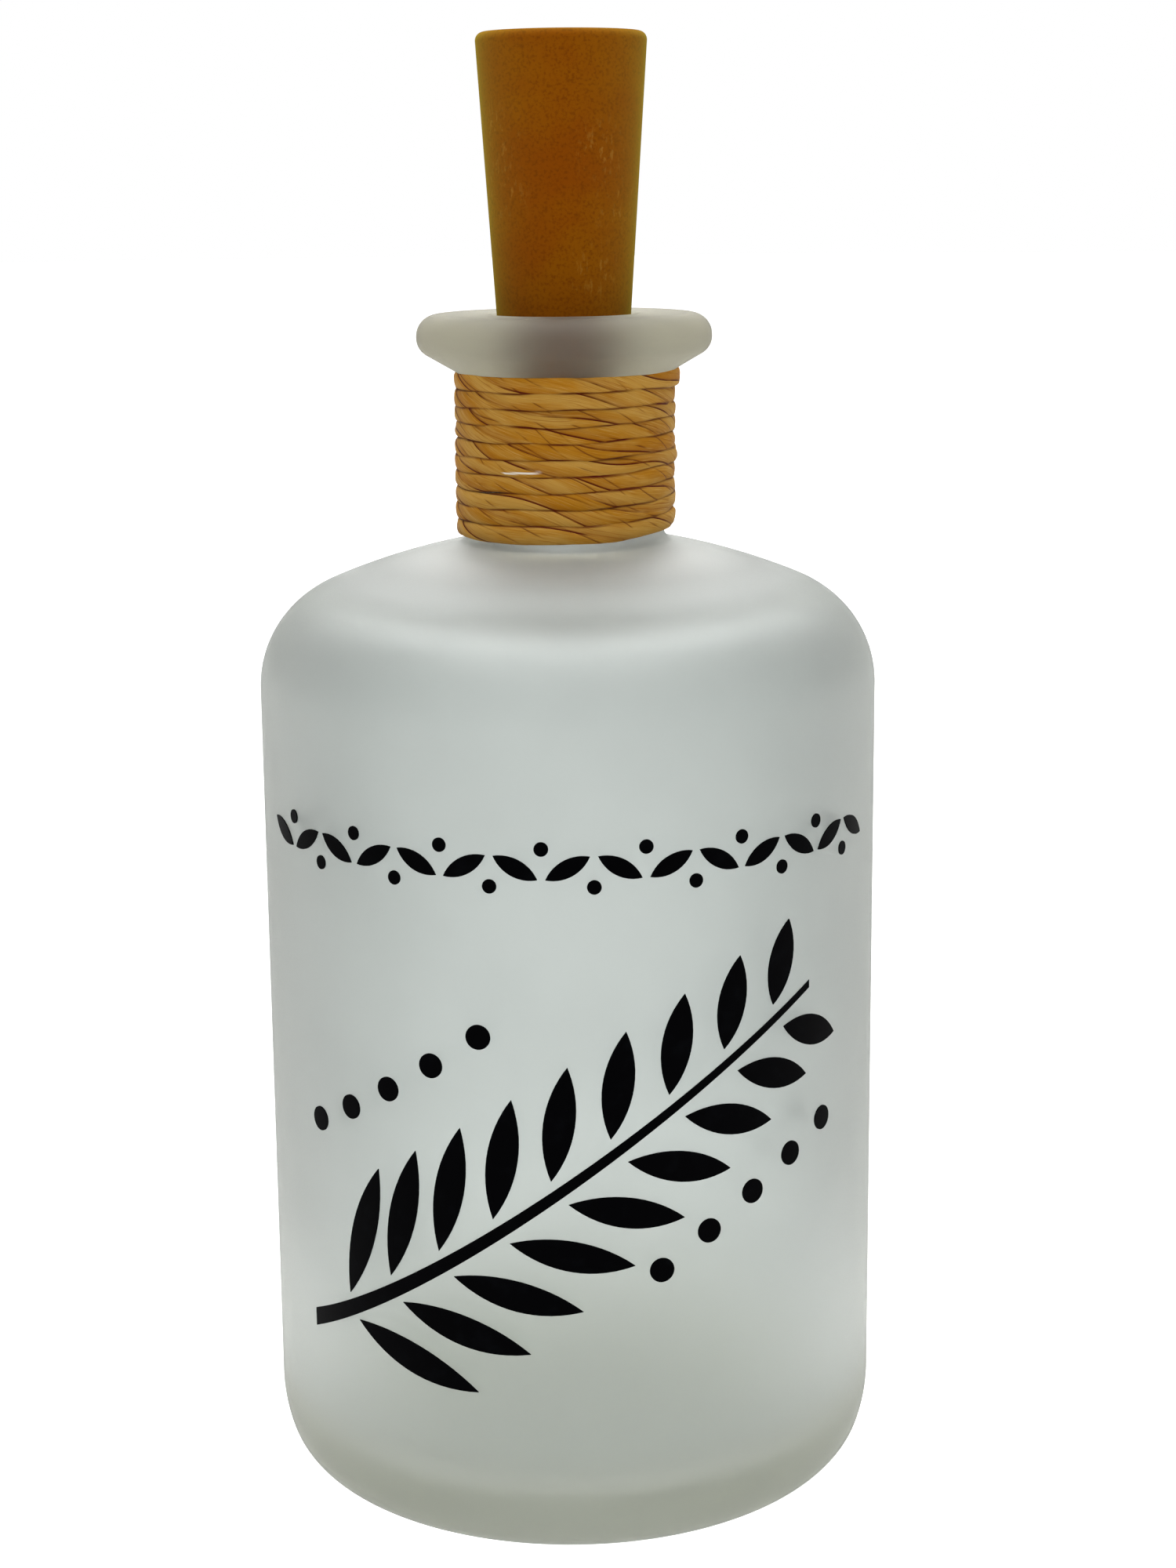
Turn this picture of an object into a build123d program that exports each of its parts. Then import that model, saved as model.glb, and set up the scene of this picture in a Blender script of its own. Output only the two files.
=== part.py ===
from build123d import *
import math
import os

# Bottle light: a frosted glass bottle with a twine-wound neck, closed by a tapered stopper.
# The stopper holds a battery core with a slide switch, and a lamp that shines into the glass.
# Millimetres, +Z up. The origin is the middle of the base on the table, the front faces -Y.

# Glass body
body_diameter = 82.0
body_wall_top = 108.7
glass_wall = 3.0
base_thickness = 5.0
punt_depth = 2.5
bearing_width = 4.0
heel_corner_radius = 8.6
heel_wall_radius = 20.4
heel_wall_sweep = 17.4
inner_heel_radius = 8.0

# Glass shoulder, neck and lip
shoulder_radius = 14.5
shoulder_sweep = 67.0
dome_radius = 90.0
neck_diameter = 25.8
neck_foot_radius = 1.8
neck_length = 19.8
bore_diameter = 18.0
bore_foot_radius = 4.0
lip_diameter = 38.7
lip_height = 8.2
lip_underside_angle = 30.0
lip_edge_radius = 2.5
lip_crown_radius = 2.8
mouth_edge_radius = 1.0

# Twine around the neck
twine_diameter = 1.48
twine_clearance = 0.1
twine_turn_gap = 0.44
twine_start_angle = 180.0

# Film on the front of the body
film_thickness = 0.15
film_clearance = 0.02
film_reach = 4.0
garland_drop = 16.0
garland_leaves = 15
garland_spread_angle = 63.0
garland_leaf_length = 6.2
garland_leaf_width = 2.2
garland_tilt_angle = 28.0
garland_dot_diameter = 1.8
garland_dot_offset = 2.4
branch_rise = 40.0
branch_slope_angle = 35.75
branch_left_angle = -56.0
branch_right_angle = 48.0
branch_foot_width = 2.4
branch_tip_width = 1.0
branch_pairs = 9
branch_leaf_first = 19.0
branch_leaf_last = 11.0
branch_leaf_width = 4.0
branch_tilt_angle = 46.0
branch_leaf_offset = 2.6
berry_rows = 5
berry_diameter = 3.2
berry_step_angle = 9.0
berry_start_angle = 16.0
berry_above = 27.0
berry_below = 20.0

# Stopper sleeve
stopper_top_diameter = 22.2
stopper_rise = 35.6
stopper_insertion = 20.0
seat_clearance = 0.2
stopper_top_edge = 1.1
stopper_bottom_edge = 1.0
sleeve_wall = 1.4
sleeve_floor = 2.0
rim_wall = 1.8
rim_recess = 1.2
rim_edge = 0.3
rim_edge_share = 0.25
top_edge_share = 0.62
cap_ledge = 1.0

# Lens in the floor of the sleeve
lens_hole_diameter = 8.2
lens_clearance = 0.05
lens_flange_diameter = 11.0
lens_flange_thickness = 1.2
lens_dome_height = 1.6

# Cap of the battery core, and its screws
cap_thickness = 2.0
cap_clearance = 0.15
cap_edge = 0.25
nail_notch_radius = 2.2
nail_notch_depth = 1.0
screw_diameter = 1.6
screw_head_diameter = 3.2
screw_length = 7.0
screw_inset = 0.5
screw_clearance = 0.08
screw_tip_room = 0.5
screw_recess_width = 0.4
screw_recess_depth = 0.5
countersink_angle = 90.0

# Slide switch
switch_length = 8.6
switch_width = 4.4
switch_height = 3.6
switch_travel = 2.0
shoe_length = 5.0
shoe_width = 2.8
shoe_height = 1.6
knob_length = 2.6
knob_width = 1.8
knob_rise = 0.9
knob_groove_width = 0.35
knob_groove_depth = 0.25
knob_groove_pitch = 0.8
slider_clearance = 0.15
pin_pitch = 2.0
pin_length = 2.2
pin_width = 0.6
pin_thickness = 0.4

# Battery carrier
core_clearance = 0.3
deck_thickness = 1.6
bay_floor_thickness = 1.6
bay_clearance = 0.15
skirt_wall = 1.2
post_diameter = 3.4
switch_rest_length = 1.2
strip_web = 0.35

# Cells, spring and contacts
cell_diameter = 11.6
cell_height = 5.4
cell_count = 3
cell_cap_diameter = 9.2
cell_cap_height = 0.45
cell_edge = 0.4
spring_height = 3.6
spring_diameter = 6.9
spring_wire = 0.5
spring_turns = 3
spring_clearance = 0.05
contact_thickness = 0.3
contact_diameter = 9.2
contact_post_width = 0.8
plate_diameter = 10.6
strip_thickness = 0.3
strip_width = 1.6
strip_clearance = 0.25
strip_bend_radius = 0.35
strip_foot_inset = 0.8
strip_jog_height = 3.0
negative_strip_inset = 0.6

# Board and lamp
board_thickness = 1.2
board_inset = 0.2
led_diameter = 5.0
led_length = 8.6
led_flange_diameter = 5.8
led_flange_thickness = 1.0
led_flange_flat = 0.3
led_lens_gap = 0.8
lead_diameter = 0.5
lead_spacing = 2.54
lead_stub = 1.5
lead_clearance = 0.15
resistor_length = 3.2
resistor_width = 1.6
resistor_height = 0.6
resistor_offset = 3.0

# Bottle levels and radii
body_radius = body_diameter / 2
neck_radius = neck_diameter / 2
bore_radius = bore_diameter / 2
lip_radius = lip_diameter / 2
inner_radius = body_radius - glass_wall
inner_floor_z = punt_depth + base_thickness
heel_corner_sweep = 90.0 - heel_wall_sweep
heel_turn = math.radians(heel_corner_sweep)
heel_width = heel_corner_radius * math.sin(heel_turn) + heel_wall_radius * (1 - math.sin(heel_turn))
heel_height = heel_corner_radius + (heel_wall_radius - heel_corner_radius) * math.cos(heel_turn)
bearing_outer_radius = body_radius - heel_width


def dome_heading(wall_radius, corner_radius, dome, foot_radius, end_radius):
    """Heading in degrees at which the dome hands over to the fillet at the foot of the neck."""
    start = math.radians(90 + shoulder_sweep)
    start_radius = wall_radius - corner_radius * (1 - math.sin(start))
    run = end_radius - start_radius + dome * math.sin(start) + foot_radius
    return 180 - math.degrees(math.asin(run / (dome + foot_radius)))


def shoulder_line(wall_radius, offset, foot_radius, end_radius):
    """Shoulder, dome and neck foot, drawn upward from the top of the straight wall."""
    corner_radius = shoulder_radius - offset
    dome = dome_radius - offset
    heading = dome_heading(wall_radius, corner_radius, dome, foot_radius, end_radius)
    corner = JernArc((wall_radius, body_wall_top), (0, 1), corner_radius, shoulder_sweep)
    rise = JernArc(corner @ 1, corner % 1, dome, heading - 90 - shoulder_sweep)
    return JernArc(rise @ 1, rise % 1, foot_radius, 90 - heading)


with BuildLine(mode=Mode.PRIVATE):
    neck_foot_z = (shoulder_line(body_radius, 0, neck_foot_radius, neck_radius) @ 1).Y
lip_z = neck_foot_z + neck_length
mouth_z = lip_z + lip_height
lip_underside_slope = math.tan(math.radians(lip_underside_angle))
lip_edge_z = lip_z + (lip_radius - neck_radius) * lip_underside_slope

# Stopper levels and radii
seat_radius = bore_radius - seat_clearance
stopper_top_z = mouth_z + stopper_rise
stopper_bottom_z = mouth_z - stopper_insertion
stopper_taper = (stopper_top_diameter / 2 - seat_radius) / stopper_rise
cap_bore_radius = stopper_top_diameter / 2 - rim_wall
core_bore_radius = cap_bore_radius - cap_ledge
ledge_z = stopper_top_z - rim_recess - cap_thickness
sleeve_floor_z = stopper_bottom_z + sleeve_floor


def stopper_radius(z):
    """Outer radius of the tapered stopper at a level."""
    return seat_radius + stopper_taper * (z - mouth_z)


def core_radius(z):
    """Largest radius that the battery core may have at a level inside the sleeve."""
    return min(stopper_radius(z) - sleeve_wall, core_bore_radius) - core_clearance


# Core levels, from the cap down to the floor of the cell bay
cap_top_z = ledge_z + cap_thickness
switch_bottom_z = ledge_z - switch_height
pin_end_z = switch_bottom_z - pin_length
deck_top_z = pin_end_z - strip_thickness
deck_bottom_z = deck_top_z - deck_thickness
cell_top_z = deck_bottom_z - contact_thickness
cell_bottom_z = cell_top_z - cell_count * cell_height
plate_top_z = cell_bottom_z - spring_height
bay_floor_z = plate_top_z - contact_thickness
bay_bottom_z = bay_floor_z - bay_floor_thickness

# Core levels, from the lens up to the board
lens_top_z = sleeve_floor_z + lens_flange_thickness
led_tip_z = lens_top_z + led_lens_gap
board_bottom_z = led_tip_z + led_length
board_top_z = board_bottom_z + board_thickness
board_radius = core_radius(board_bottom_z) - board_inset
bay_radius = cell_diameter / 2 + bay_clearance
skirt_radius = core_radius(board_top_z) - skirt_wall
strip_slot_width = strip_width + 2 * strip_clearance
strip_groove_x = bay_radius + strip_web
strip_x = strip_groove_x + strip_clearance + strip_thickness / 2
strip_foot_x = board_radius - strip_foot_inset
strip_notch_x = strip_foot_x - strip_thickness / 2 - strip_clearance
negative_strip_x = negative_strip_inset + strip_thickness / 2 - plate_diameter / 2

screw_offset = core_bore_radius - core_clearance - post_diameter / 2 - screw_inset

os.makedirs("parts", exist_ok=True)


def write_piece(piece, name):
    """Label a finished piece and write its file."""
    piece.part.label = name
    export_step(piece.part, f"parts/{name}.step")


def helix_point(radius, bottom, pitch, start_angle, turn):
    """Point and unit heading of a helix after a number of turns."""
    angle = math.radians(start_angle) + turn * math.tau
    point = Vector(radius * math.cos(angle), radius * math.sin(angle), bottom + pitch * turn)
    heading = Vector(-math.sin(angle), math.cos(angle), pitch / (math.tau * radius))
    return point, heading.normalized()


def biarc(start, start_heading, end, end_heading):
    """Two tangent arcs from one point and heading to the next."""
    chord = end - start
    bend = 1 - start_heading.dot(end_heading)
    lean = chord.dot(start_heading + end_heading)
    reach = (math.sqrt(lean**2 + 2 * bend * chord.dot(chord)) - lean) / (2 * bend)
    first = start + start_heading * reach
    second = end - end_heading * reach
    middle = (first + second) / 2
    TangentArc(start, middle, tangent=start_heading)
    TangentArc(middle, end, tangent=second - first)


def winding_line(radius, bottom, pitch, half_turns, start_angle, straight):
    """Helix of half-turn biarcs, with a straight run along the heading at each end."""
    knots = [helix_point(radius, bottom, pitch, start_angle, i / 2) for i in range(half_turns + 1)]
    first, first_heading = knots[0]
    last, last_heading = knots[-1]
    Line(first - first_heading * straight, first)
    for (start, start_heading), (end, end_heading) in zip(knots, knots[1:]):
        biarc(start, start_heading, end, end_heading)
    Line(last, last + last_heading * straight)


def winding_gap(path, diameter, pitch_length):
    """Least gap between turns of a tube, measured on points along its path."""
    count = int(path.length / diameter) * 3
    points = [tuple(path.position_at(i / count)) for i in range(count + 1)]
    apart = int(count * pitch_length / path.length / 2)
    return min(math.dist(a, b) for i, a in enumerate(points) for b in points[i + apart:]) - diameter


# Glass bottle, one revolved section with its punt, lip, bore and hollow
with BuildPart() as glass_bottle:
    with BuildSketch(Plane.XZ):
        with BuildLine():
            punt_rim = (bearing_outer_radius - bearing_width, 0)
            punt = TangentArc((0, punt_depth), punt_rim, tangent=(1, 0))
            bearing = Line(punt @ 1, (bearing_outer_radius, 0))
            heel = JernArc(bearing @ 1, (1, 0), heel_corner_radius, heel_corner_sweep)
            flank = JernArc(heel @ 1, heel % 1, heel_wall_radius, heel_wall_sweep)
            Line(flank @ 1, (body_radius, body_wall_top))
            neck_foot = shoulder_line(body_radius, 0, neck_foot_radius, neck_radius)
            bore_foot = shoulder_line(inner_radius, glass_wall, bore_foot_radius, bore_radius)
            Line(neck_foot @ 1, (neck_radius, lip_z))
            FilletPolyline(
                (neck_radius, lip_z),
                (lip_radius, lip_edge_z),
                (lip_radius, mouth_z),
                (bore_radius, mouth_z),
                bore_foot @ 1,
                radius=[lip_edge_radius, lip_crown_radius, mouth_edge_radius],
            )
            FilletPolyline(
                (0, inner_floor_z),
                (inner_radius, inner_floor_z),
                (inner_radius, body_wall_top),
                radius=inner_heel_radius,
            )
            Line((0, inner_floor_z), (0, punt_depth))
        make_face()
    revolve(axis=Axis.Z)
write_piece(glass_bottle, "glass_bottle")

# Twine, one unbroken tube wound up the neck between the shoulder and the lip
twine_radius = twine_diameter / 2
winding_radius = neck_radius + twine_clearance + twine_radius
winding_bottom_z = neck_foot_z + twine_clearance + twine_radius
lip_drop = (twine_radius + twine_clearance) / math.cos(math.radians(lip_underside_angle))
winding_top_z = lip_z + (winding_radius - neck_radius) * lip_underside_slope - lip_drop
winding_climb = winding_top_z - winding_bottom_z
half_turns = int(2 * winding_climb / (twine_diameter + twine_turn_gap))
winding_pitch = 2 * winding_climb / half_turns
with BuildPart() as neck_twine:
    with BuildLine() as twine_line:
        winding_line(
            winding_radius, winding_bottom_z, winding_pitch, half_turns, twine_start_angle, twine_diameter
        )
    with BuildSketch(Plane(twine_line.line @ 0, z_dir=twine_line.line % 0)):
        Circle(twine_radius)
    sweep()
twine_wire = twine_line.wire()
twine_gap = winding_gap(twine_wire, twine_diameter, math.tau * winding_radius)
twine_section = math.pi * twine_radius**2
print("twine: turns", half_turns / 2, "pitch", round(winding_pitch, 3), "gap", round(twine_gap, 3))
print("twine: volume over section times length",
      round(neck_twine.part.volume / (twine_section * twine_wire.length), 5))
write_piece(neck_twine, "neck_twine")


def film_plane(angle, height, tilt):
    """Plane that touches the body at an angle from the front, with its X axis tilted upward."""
    turn = math.radians(angle)
    lean = math.radians(tilt)
    outward = (math.sin(turn), -math.cos(turn), 0)
    touch = (body_radius * outward[0], body_radius * outward[1], height)
    along = (math.cos(lean) * math.cos(turn), math.cos(lean) * math.sin(turn), math.sin(lean))
    return Plane(touch, x_dir=along, z_dir=outward)


def cut_leaf(angle, height, tilt, length, width):
    """Prism of one pointed leaf, drawn about its middle."""
    with BuildSketch(film_plane(angle, height, tilt)) as leaf:
        with BuildLine():
            ThreePointArc((-length / 2, 0), (0, width / 2), (length / 2, 0))
            ThreePointArc((length / 2, 0), (0, -width / 2), (-length / 2, 0))
        make_face()
    extrude(leaf.sketch, amount=film_reach, both=True)


def cut_dot(angle, height, diameter):
    """Prism of one round dot."""
    with BuildSketch(film_plane(angle, height, 0)) as dot:
        Circle(diameter / 2)
    extrude(dot.sketch, amount=film_reach, both=True)


def branch_height(angle):
    """Level of the middle of the branch at an angle from the front."""
    return branch_z + branch_slope * body_radius * math.sin(math.radians(angle))


# Motif of the film: a row of leaves and dots over one branch with paired leaves and berries
branch_slope = math.tan(math.radians(branch_slope_angle))
garland_z = body_wall_top - garland_drop
branch_z = heel_height + branch_rise
branch_left_x = body_radius * math.sin(math.radians(branch_left_angle))
branch_right_x = body_radius * math.sin(math.radians(branch_right_angle))
garland_step = 2 * garland_spread_angle / (garland_leaves - 1)
pair_step = (branch_right_angle - branch_left_angle) / (branch_pairs + 1)
with BuildPart() as motif:
    for i in range(garland_leaves):
        lean = garland_tilt_angle if i % 2 else -garland_tilt_angle
        leaf_angle = i * garland_step - garland_spread_angle
        cut_leaf(leaf_angle, garland_z, lean, garland_leaf_length, garland_leaf_width)
    for i in range(garland_leaves - 1):
        side = -garland_dot_offset if i % 2 else garland_dot_offset
        dot_angle = (i + 0.5) * garland_step - garland_spread_angle
        cut_dot(dot_angle, garland_z + side, garland_dot_diameter)
    with BuildSketch(Plane.XZ):
        with BuildLine():
            Polyline(
                (branch_left_x, branch_height(branch_left_angle) - branch_foot_width / 2),
                (branch_right_x, branch_height(branch_right_angle) - branch_tip_width / 2),
                (branch_right_x, branch_height(branch_right_angle) + branch_tip_width / 2),
                (branch_left_x, branch_height(branch_left_angle) + branch_foot_width / 2),
                close=True,
            )
        make_face()
    extrude(amount=body_radius + film_reach)
    for i in range(branch_pairs):
        root_angle = branch_left_angle + (i + 1) * pair_step
        stem_tilt = math.degrees(math.atan(branch_slope * math.cos(math.radians(root_angle))))
        share = i / (branch_pairs - 1)
        length = branch_leaf_first + (branch_leaf_last - branch_leaf_first) * share
        for side in (1, -1):
            tilt = stem_tilt + side * branch_tilt_angle
            reach = length / 2 + branch_leaf_offset
            along = reach * math.cos(math.radians(tilt))
            leaf_angle = root_angle + math.degrees(along / body_radius)
            rise = reach * math.sin(math.radians(tilt))
            cut_leaf(leaf_angle, branch_height(root_angle) + rise, tilt, length, branch_leaf_width)
    for i in range(berry_rows):
        berry_angle = berry_start_angle + i * berry_step_angle
        cut_dot(-berry_angle, branch_height(-berry_angle) + berry_above, berry_diameter)
        cut_dot(berry_angle, branch_height(berry_angle) - berry_below, berry_diameter)

# Film, the motif cut out of a thin shell around the body
film_inner_radius = body_radius + film_clearance
with BuildPart() as vinyl_decal:
    with BuildSketch():
        Circle(film_inner_radius + film_thickness)
        Circle(film_inner_radius, mode=Mode.SUBTRACT)
    extrude(amount=body_wall_top)
    add(motif.part, mode=Mode.INTERSECT)
write_piece(vinyl_decal, "vinyl_decal")

def core_room(bottom_z, top_z, clearance):
    """Tapered room in the sleeve between two levels, no wider than the hole in the cap's ledge."""
    with BuildPart() as room:
        with BuildSketch(Plane.XZ):
            with BuildLine():
                Polyline(
                    (0, bottom_z),
                    (stopper_radius(bottom_z) - sleeve_wall - clearance, bottom_z),
                    (stopper_radius(top_z) - sleeve_wall - clearance, top_z),
                    (0, top_z),
                    close=True,
                )
            make_face()
        revolve(axis=Axis.Z)
        with BuildSketch(Plane.XY.offset(bottom_z)):
            Circle(core_bore_radius - clearance)
        extrude(amount=top_z - bottom_z, mode=Mode.INTERSECT)
    return room.part


# Stopper sleeve, a tapered cup with a rim, a ledge for the cap and a hole for the lens
top_edge = min(stopper_top_edge, top_edge_share * rim_wall)
inner_edge = min(rim_edge, rim_edge_share * rim_wall)
with BuildPart() as cork_sleeve:
    with BuildSketch(Plane.XZ):
        with BuildLine():
            FilletPolyline(
                (lens_hole_diameter / 2, stopper_bottom_z),
                (stopper_radius(stopper_bottom_z), stopper_bottom_z),
                (stopper_radius(stopper_top_z), stopper_top_z),
                (cap_bore_radius, stopper_top_z),
                (cap_bore_radius, ledge_z),
                radius=[stopper_bottom_edge, top_edge, inner_edge],
            )
            Polyline(
                (cap_bore_radius, ledge_z),
                (lens_hole_diameter / 2, ledge_z),
                (lens_hole_diameter / 2, stopper_bottom_z),
            )
        make_face()
    revolve(axis=Axis.Z)
    add(core_room(sleeve_floor_z, ledge_z, 0), mode=Mode.SUBTRACT)
write_piece(cork_sleeve, "cork_sleeve")

# Lens, a flange on the floor, a plug through it and a low dome below
lens_plug_radius = lens_hole_diameter / 2 - lens_clearance
with BuildPart() as lens:
    with BuildSketch(Plane.XZ):
        with BuildLine():
            dome_tip = (0, stopper_bottom_z - lens_dome_height)
            TangentArc(dome_tip, (lens_plug_radius, stopper_bottom_z), tangent=(1, 0))
            Polyline(
                (lens_plug_radius, stopper_bottom_z),
                (lens_plug_radius, sleeve_floor_z),
                (lens_flange_diameter / 2, sleeve_floor_z),
                (lens_flange_diameter / 2, lens_top_z),
                (0, lens_top_z),
                dome_tip,
            )
        make_face()
    revolve(axis=Axis.Z)
write_piece(lens, "lens")

# Cap, a recessed lid with the slot of the switch, two screw holes and a nail notch
cap_radius = cap_bore_radius - cap_clearance
slot_length = knob_length + switch_travel + 2 * slider_clearance
slot_width = knob_width + 2 * slider_clearance
screw_places = [(0, screw_offset), (0, -screw_offset)]
with BuildPart() as top_cap:
    with BuildSketch(Plane.XY.offset(ledge_z)):
        Circle(cap_radius)
        SlotOverall(slot_length, slot_width, mode=Mode.SUBTRACT)
    extrude(amount=cap_thickness)
    chamfer(top_cap.faces().sort_by(Axis.Z)[-1].outer_wire().edges(), length=cap_edge)
    with BuildSketch(Plane.XY.offset(cap_top_z)):
        with Locations((-cap_radius, 0)):
            Circle(nail_notch_radius)
    extrude(amount=-nail_notch_depth, mode=Mode.SUBTRACT)
    with Locations(Plane.XY.offset(cap_top_z)):
        with Locations(*screw_places):
            CounterSinkHole(
                radius=screw_diameter / 2 + screw_clearance,
                counter_sink_radius=screw_head_diameter / 2 + screw_clearance,
                counter_sink_angle=countersink_angle,
            )
write_piece(top_cap, "top_cap")

# Cap screws, two countersunk screws with a cross recess
screw_head_radius = screw_head_diameter / 2
head_height = (screw_head_radius - screw_diameter / 2) / math.tan(math.radians(countersink_angle / 2))
with BuildPart() as cap_screws:
    with Locations(*screw_places):
        with Locations((0, 0, cap_top_z - head_height)):
            Cone(
                screw_diameter / 2,
                screw_head_radius,
                head_height,
                align=(Align.CENTER, Align.CENTER, Align.MIN),
            )
        with Locations((0, 0, cap_top_z - screw_length)):
            Cylinder(
                screw_diameter / 2,
                screw_length - head_height,
                align=(Align.CENTER, Align.CENTER, Align.MIN),
            )
    with BuildSketch(Plane.XY.offset(cap_top_z)):
        with Locations(*screw_places):
            Rectangle(screw_head_radius, screw_recess_width)
            Rectangle(screw_recess_width, screw_head_radius)
    extrude(amount=-screw_recess_depth, mode=Mode.SUBTRACT)
write_piece(cap_screws, "cap_screws")

# Battery carrier, a tapered frame with a skirt, a cell bay open to the front and a switch deck
post_height = ledge_z - deck_top_z
with BuildPart() as battery_carrier:
    add(core_room(board_top_z, deck_top_z, core_clearance))
    with BuildSketch(Plane.XY.offset(deck_top_z)):
        with Locations(*screw_places):
            Circle(post_diameter / 2)
    extrude(amount=post_height)
    with BuildSketch(Plane.XY.offset(deck_top_z)):
        with GridLocations(switch_length - switch_rest_length, 0, 2, 1):
            Rectangle(switch_rest_length, switch_width)
    extrude(amount=switch_bottom_z - deck_top_z)
    with BuildSketch(Plane.XY.offset(board_top_z)):
        Circle(skirt_radius)
    extrude(amount=bay_bottom_z - board_top_z, mode=Mode.SUBTRACT)
    with BuildSketch(Plane.XY.offset(bay_floor_z)):
        Circle(bay_radius)
        with Locations((0, -core_bore_radius / 2)):
            Rectangle(2 * bay_radius, core_bore_radius)
    extrude(amount=deck_bottom_z - bay_floor_z, mode=Mode.SUBTRACT)
    with BuildSketch(Plane.XY.offset(bay_bottom_z)):
        with Locations((strip_groove_x, 0)):
            Rectangle(core_bore_radius, strip_slot_width, align=(Align.MIN, Align.CENTER))
    extrude(amount=deck_top_z - bay_bottom_z, mode=Mode.SUBTRACT)
    with BuildSketch(Plane.XY.offset(board_top_z)):
        with Locations((strip_notch_x, 0)):
            Rectangle(core_bore_radius, strip_slot_width, align=(Align.MIN, Align.CENTER))
    extrude(amount=bay_bottom_z - board_top_z, mode=Mode.SUBTRACT)
    with BuildSketch(Plane.XY.offset(deck_top_z)):
        with Locations((pin_pitch, 0)):
            Rectangle(core_bore_radius, strip_slot_width, align=(Align.MIN, Align.CENTER))
    extrude(amount=strip_thickness + strip_clearance, mode=Mode.SUBTRACT)
    with BuildSketch(Plane.XY.offset(bay_bottom_z)):
        with Locations((negative_strip_x, 0)):
            Rectangle(strip_thickness + 2 * strip_clearance, strip_slot_width)
    extrude(amount=bay_floor_thickness, mode=Mode.SUBTRACT)
    with BuildSketch(Plane.XY.offset(deck_bottom_z)):
        Rectangle(contact_post_width + 2 * strip_clearance, contact_thickness + 2 * strip_clearance)
    extrude(amount=deck_thickness, mode=Mode.SUBTRACT)
    with Locations(Plane.XY.offset(ledge_z)):
        with Locations(*screw_places):
            Hole(
                screw_diameter / 2 + screw_clearance,
                depth=screw_length - cap_thickness + screw_tip_room,
            )
write_piece(battery_carrier, "battery_carrier")

# Button cells, stacked with the broad side up
for i in range(cell_count):
    cell_z = cell_bottom_z + i * cell_height
    with BuildPart() as button_cell:
        with BuildSketch(Plane.XY.offset(cell_z)):
            Circle(cell_cap_diameter / 2)
        extrude(amount=cell_cap_height)
        with BuildSketch(Plane.XY.offset(cell_z + cell_cap_height)):
            Circle(cell_diameter / 2)
        extrude(amount=cell_height - cell_cap_height)
        fillet(button_cell.edges().filter_by(GeomType.CIRCLE).group_by(SortBy.RADIUS)[-1], cell_edge)
    write_piece(button_cell, f"button_cell_{i + 1}")

# Spring under the lowest cell, one wire
wire_radius = spring_wire / 2
spring_radius = spring_diameter / 2 - wire_radius
spring_climb = spring_height - spring_wire - 2 * spring_clearance
spring_pitch = spring_climb / spring_turns
spring_bottom_z = plate_top_z + wire_radius + spring_clearance
with BuildPart() as cell_spring:
    with BuildLine() as spring_line:
        winding_line(spring_radius, spring_bottom_z, spring_pitch, 2 * spring_turns, 0, spring_wire)
    with BuildSketch(Plane(spring_line.line @ 0, z_dir=spring_line.line % 0)):
        Circle(wire_radius)
    sweep()
spring_gap = winding_gap(spring_line.wire(), spring_wire, math.tau * spring_radius)
print("spring: pitch", round(spring_pitch, 3), "gap", round(spring_gap, 3))
write_piece(cell_spring, "cell_spring")

# Plate under the spring
with BuildPart() as spring_plate:
    with BuildSketch(Plane.XY.offset(bay_floor_z)):
        Circle(plate_diameter / 2)
    extrude(amount=contact_thickness)
write_piece(spring_plate, "spring_plate")

# Contact over the top cell, with its post up to the middle pin of the switch
with BuildPart() as positive_contact:
    with BuildSketch(Plane.XY.offset(cell_top_z)):
        Circle(contact_diameter / 2)
    extrude(amount=contact_thickness)
    with BuildSketch(Plane.XY.offset(deck_bottom_z)):
        Rectangle(contact_post_width, contact_thickness)
    extrude(amount=pin_end_z - deck_bottom_z)
write_piece(positive_contact, "positive_contact")

# Strip from the outer pin of the switch, down the side of the carrier to the board
with BuildPart() as positive_strip:
    with BuildLine(Plane.XZ) as strip_line:
        FilletPolyline(
            (pin_pitch - pin_width, deck_top_z + strip_thickness / 2),
            (strip_x, deck_top_z + strip_thickness / 2),
            (strip_x, bay_bottom_z),
            (strip_foot_x, bay_bottom_z - strip_jog_height),
            (strip_foot_x, board_top_z),
            radius=strip_bend_radius,
        )
    with BuildSketch(Plane(strip_line.line @ 0, x_dir=(0, 1, 0), z_dir=strip_line.line % 0)):
        Rectangle(strip_width, strip_thickness)
    sweep()
write_piece(positive_strip, "positive_strip")

# Strip from the spring plate through the floor of the bay to the board
with BuildPart() as negative_strip:
    with BuildSketch(Plane.XY.offset(board_top_z)):
        with Locations((negative_strip_x, 0)):
            Rectangle(strip_thickness, strip_width)
    extrude(amount=bay_floor_z - board_top_z)
write_piece(negative_strip, "negative_strip")

# Switch case, open upward under the cap
shoe_room_length = shoe_length + switch_travel + 2 * slider_clearance
shoe_room_width = shoe_width + 2 * slider_clearance
shoe_room_height = shoe_height + 2 * slider_clearance
with BuildPart() as switch_housing:
    with BuildSketch(Plane.XY.offset(switch_bottom_z)):
        Rectangle(switch_length, switch_width)
    extrude(amount=switch_height)
    with BuildSketch(Plane.XY.offset(ledge_z)):
        Rectangle(shoe_room_length, shoe_room_width)
    extrude(amount=-shoe_room_height, mode=Mode.SUBTRACT)
write_piece(switch_housing, "switch_housing")

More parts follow.
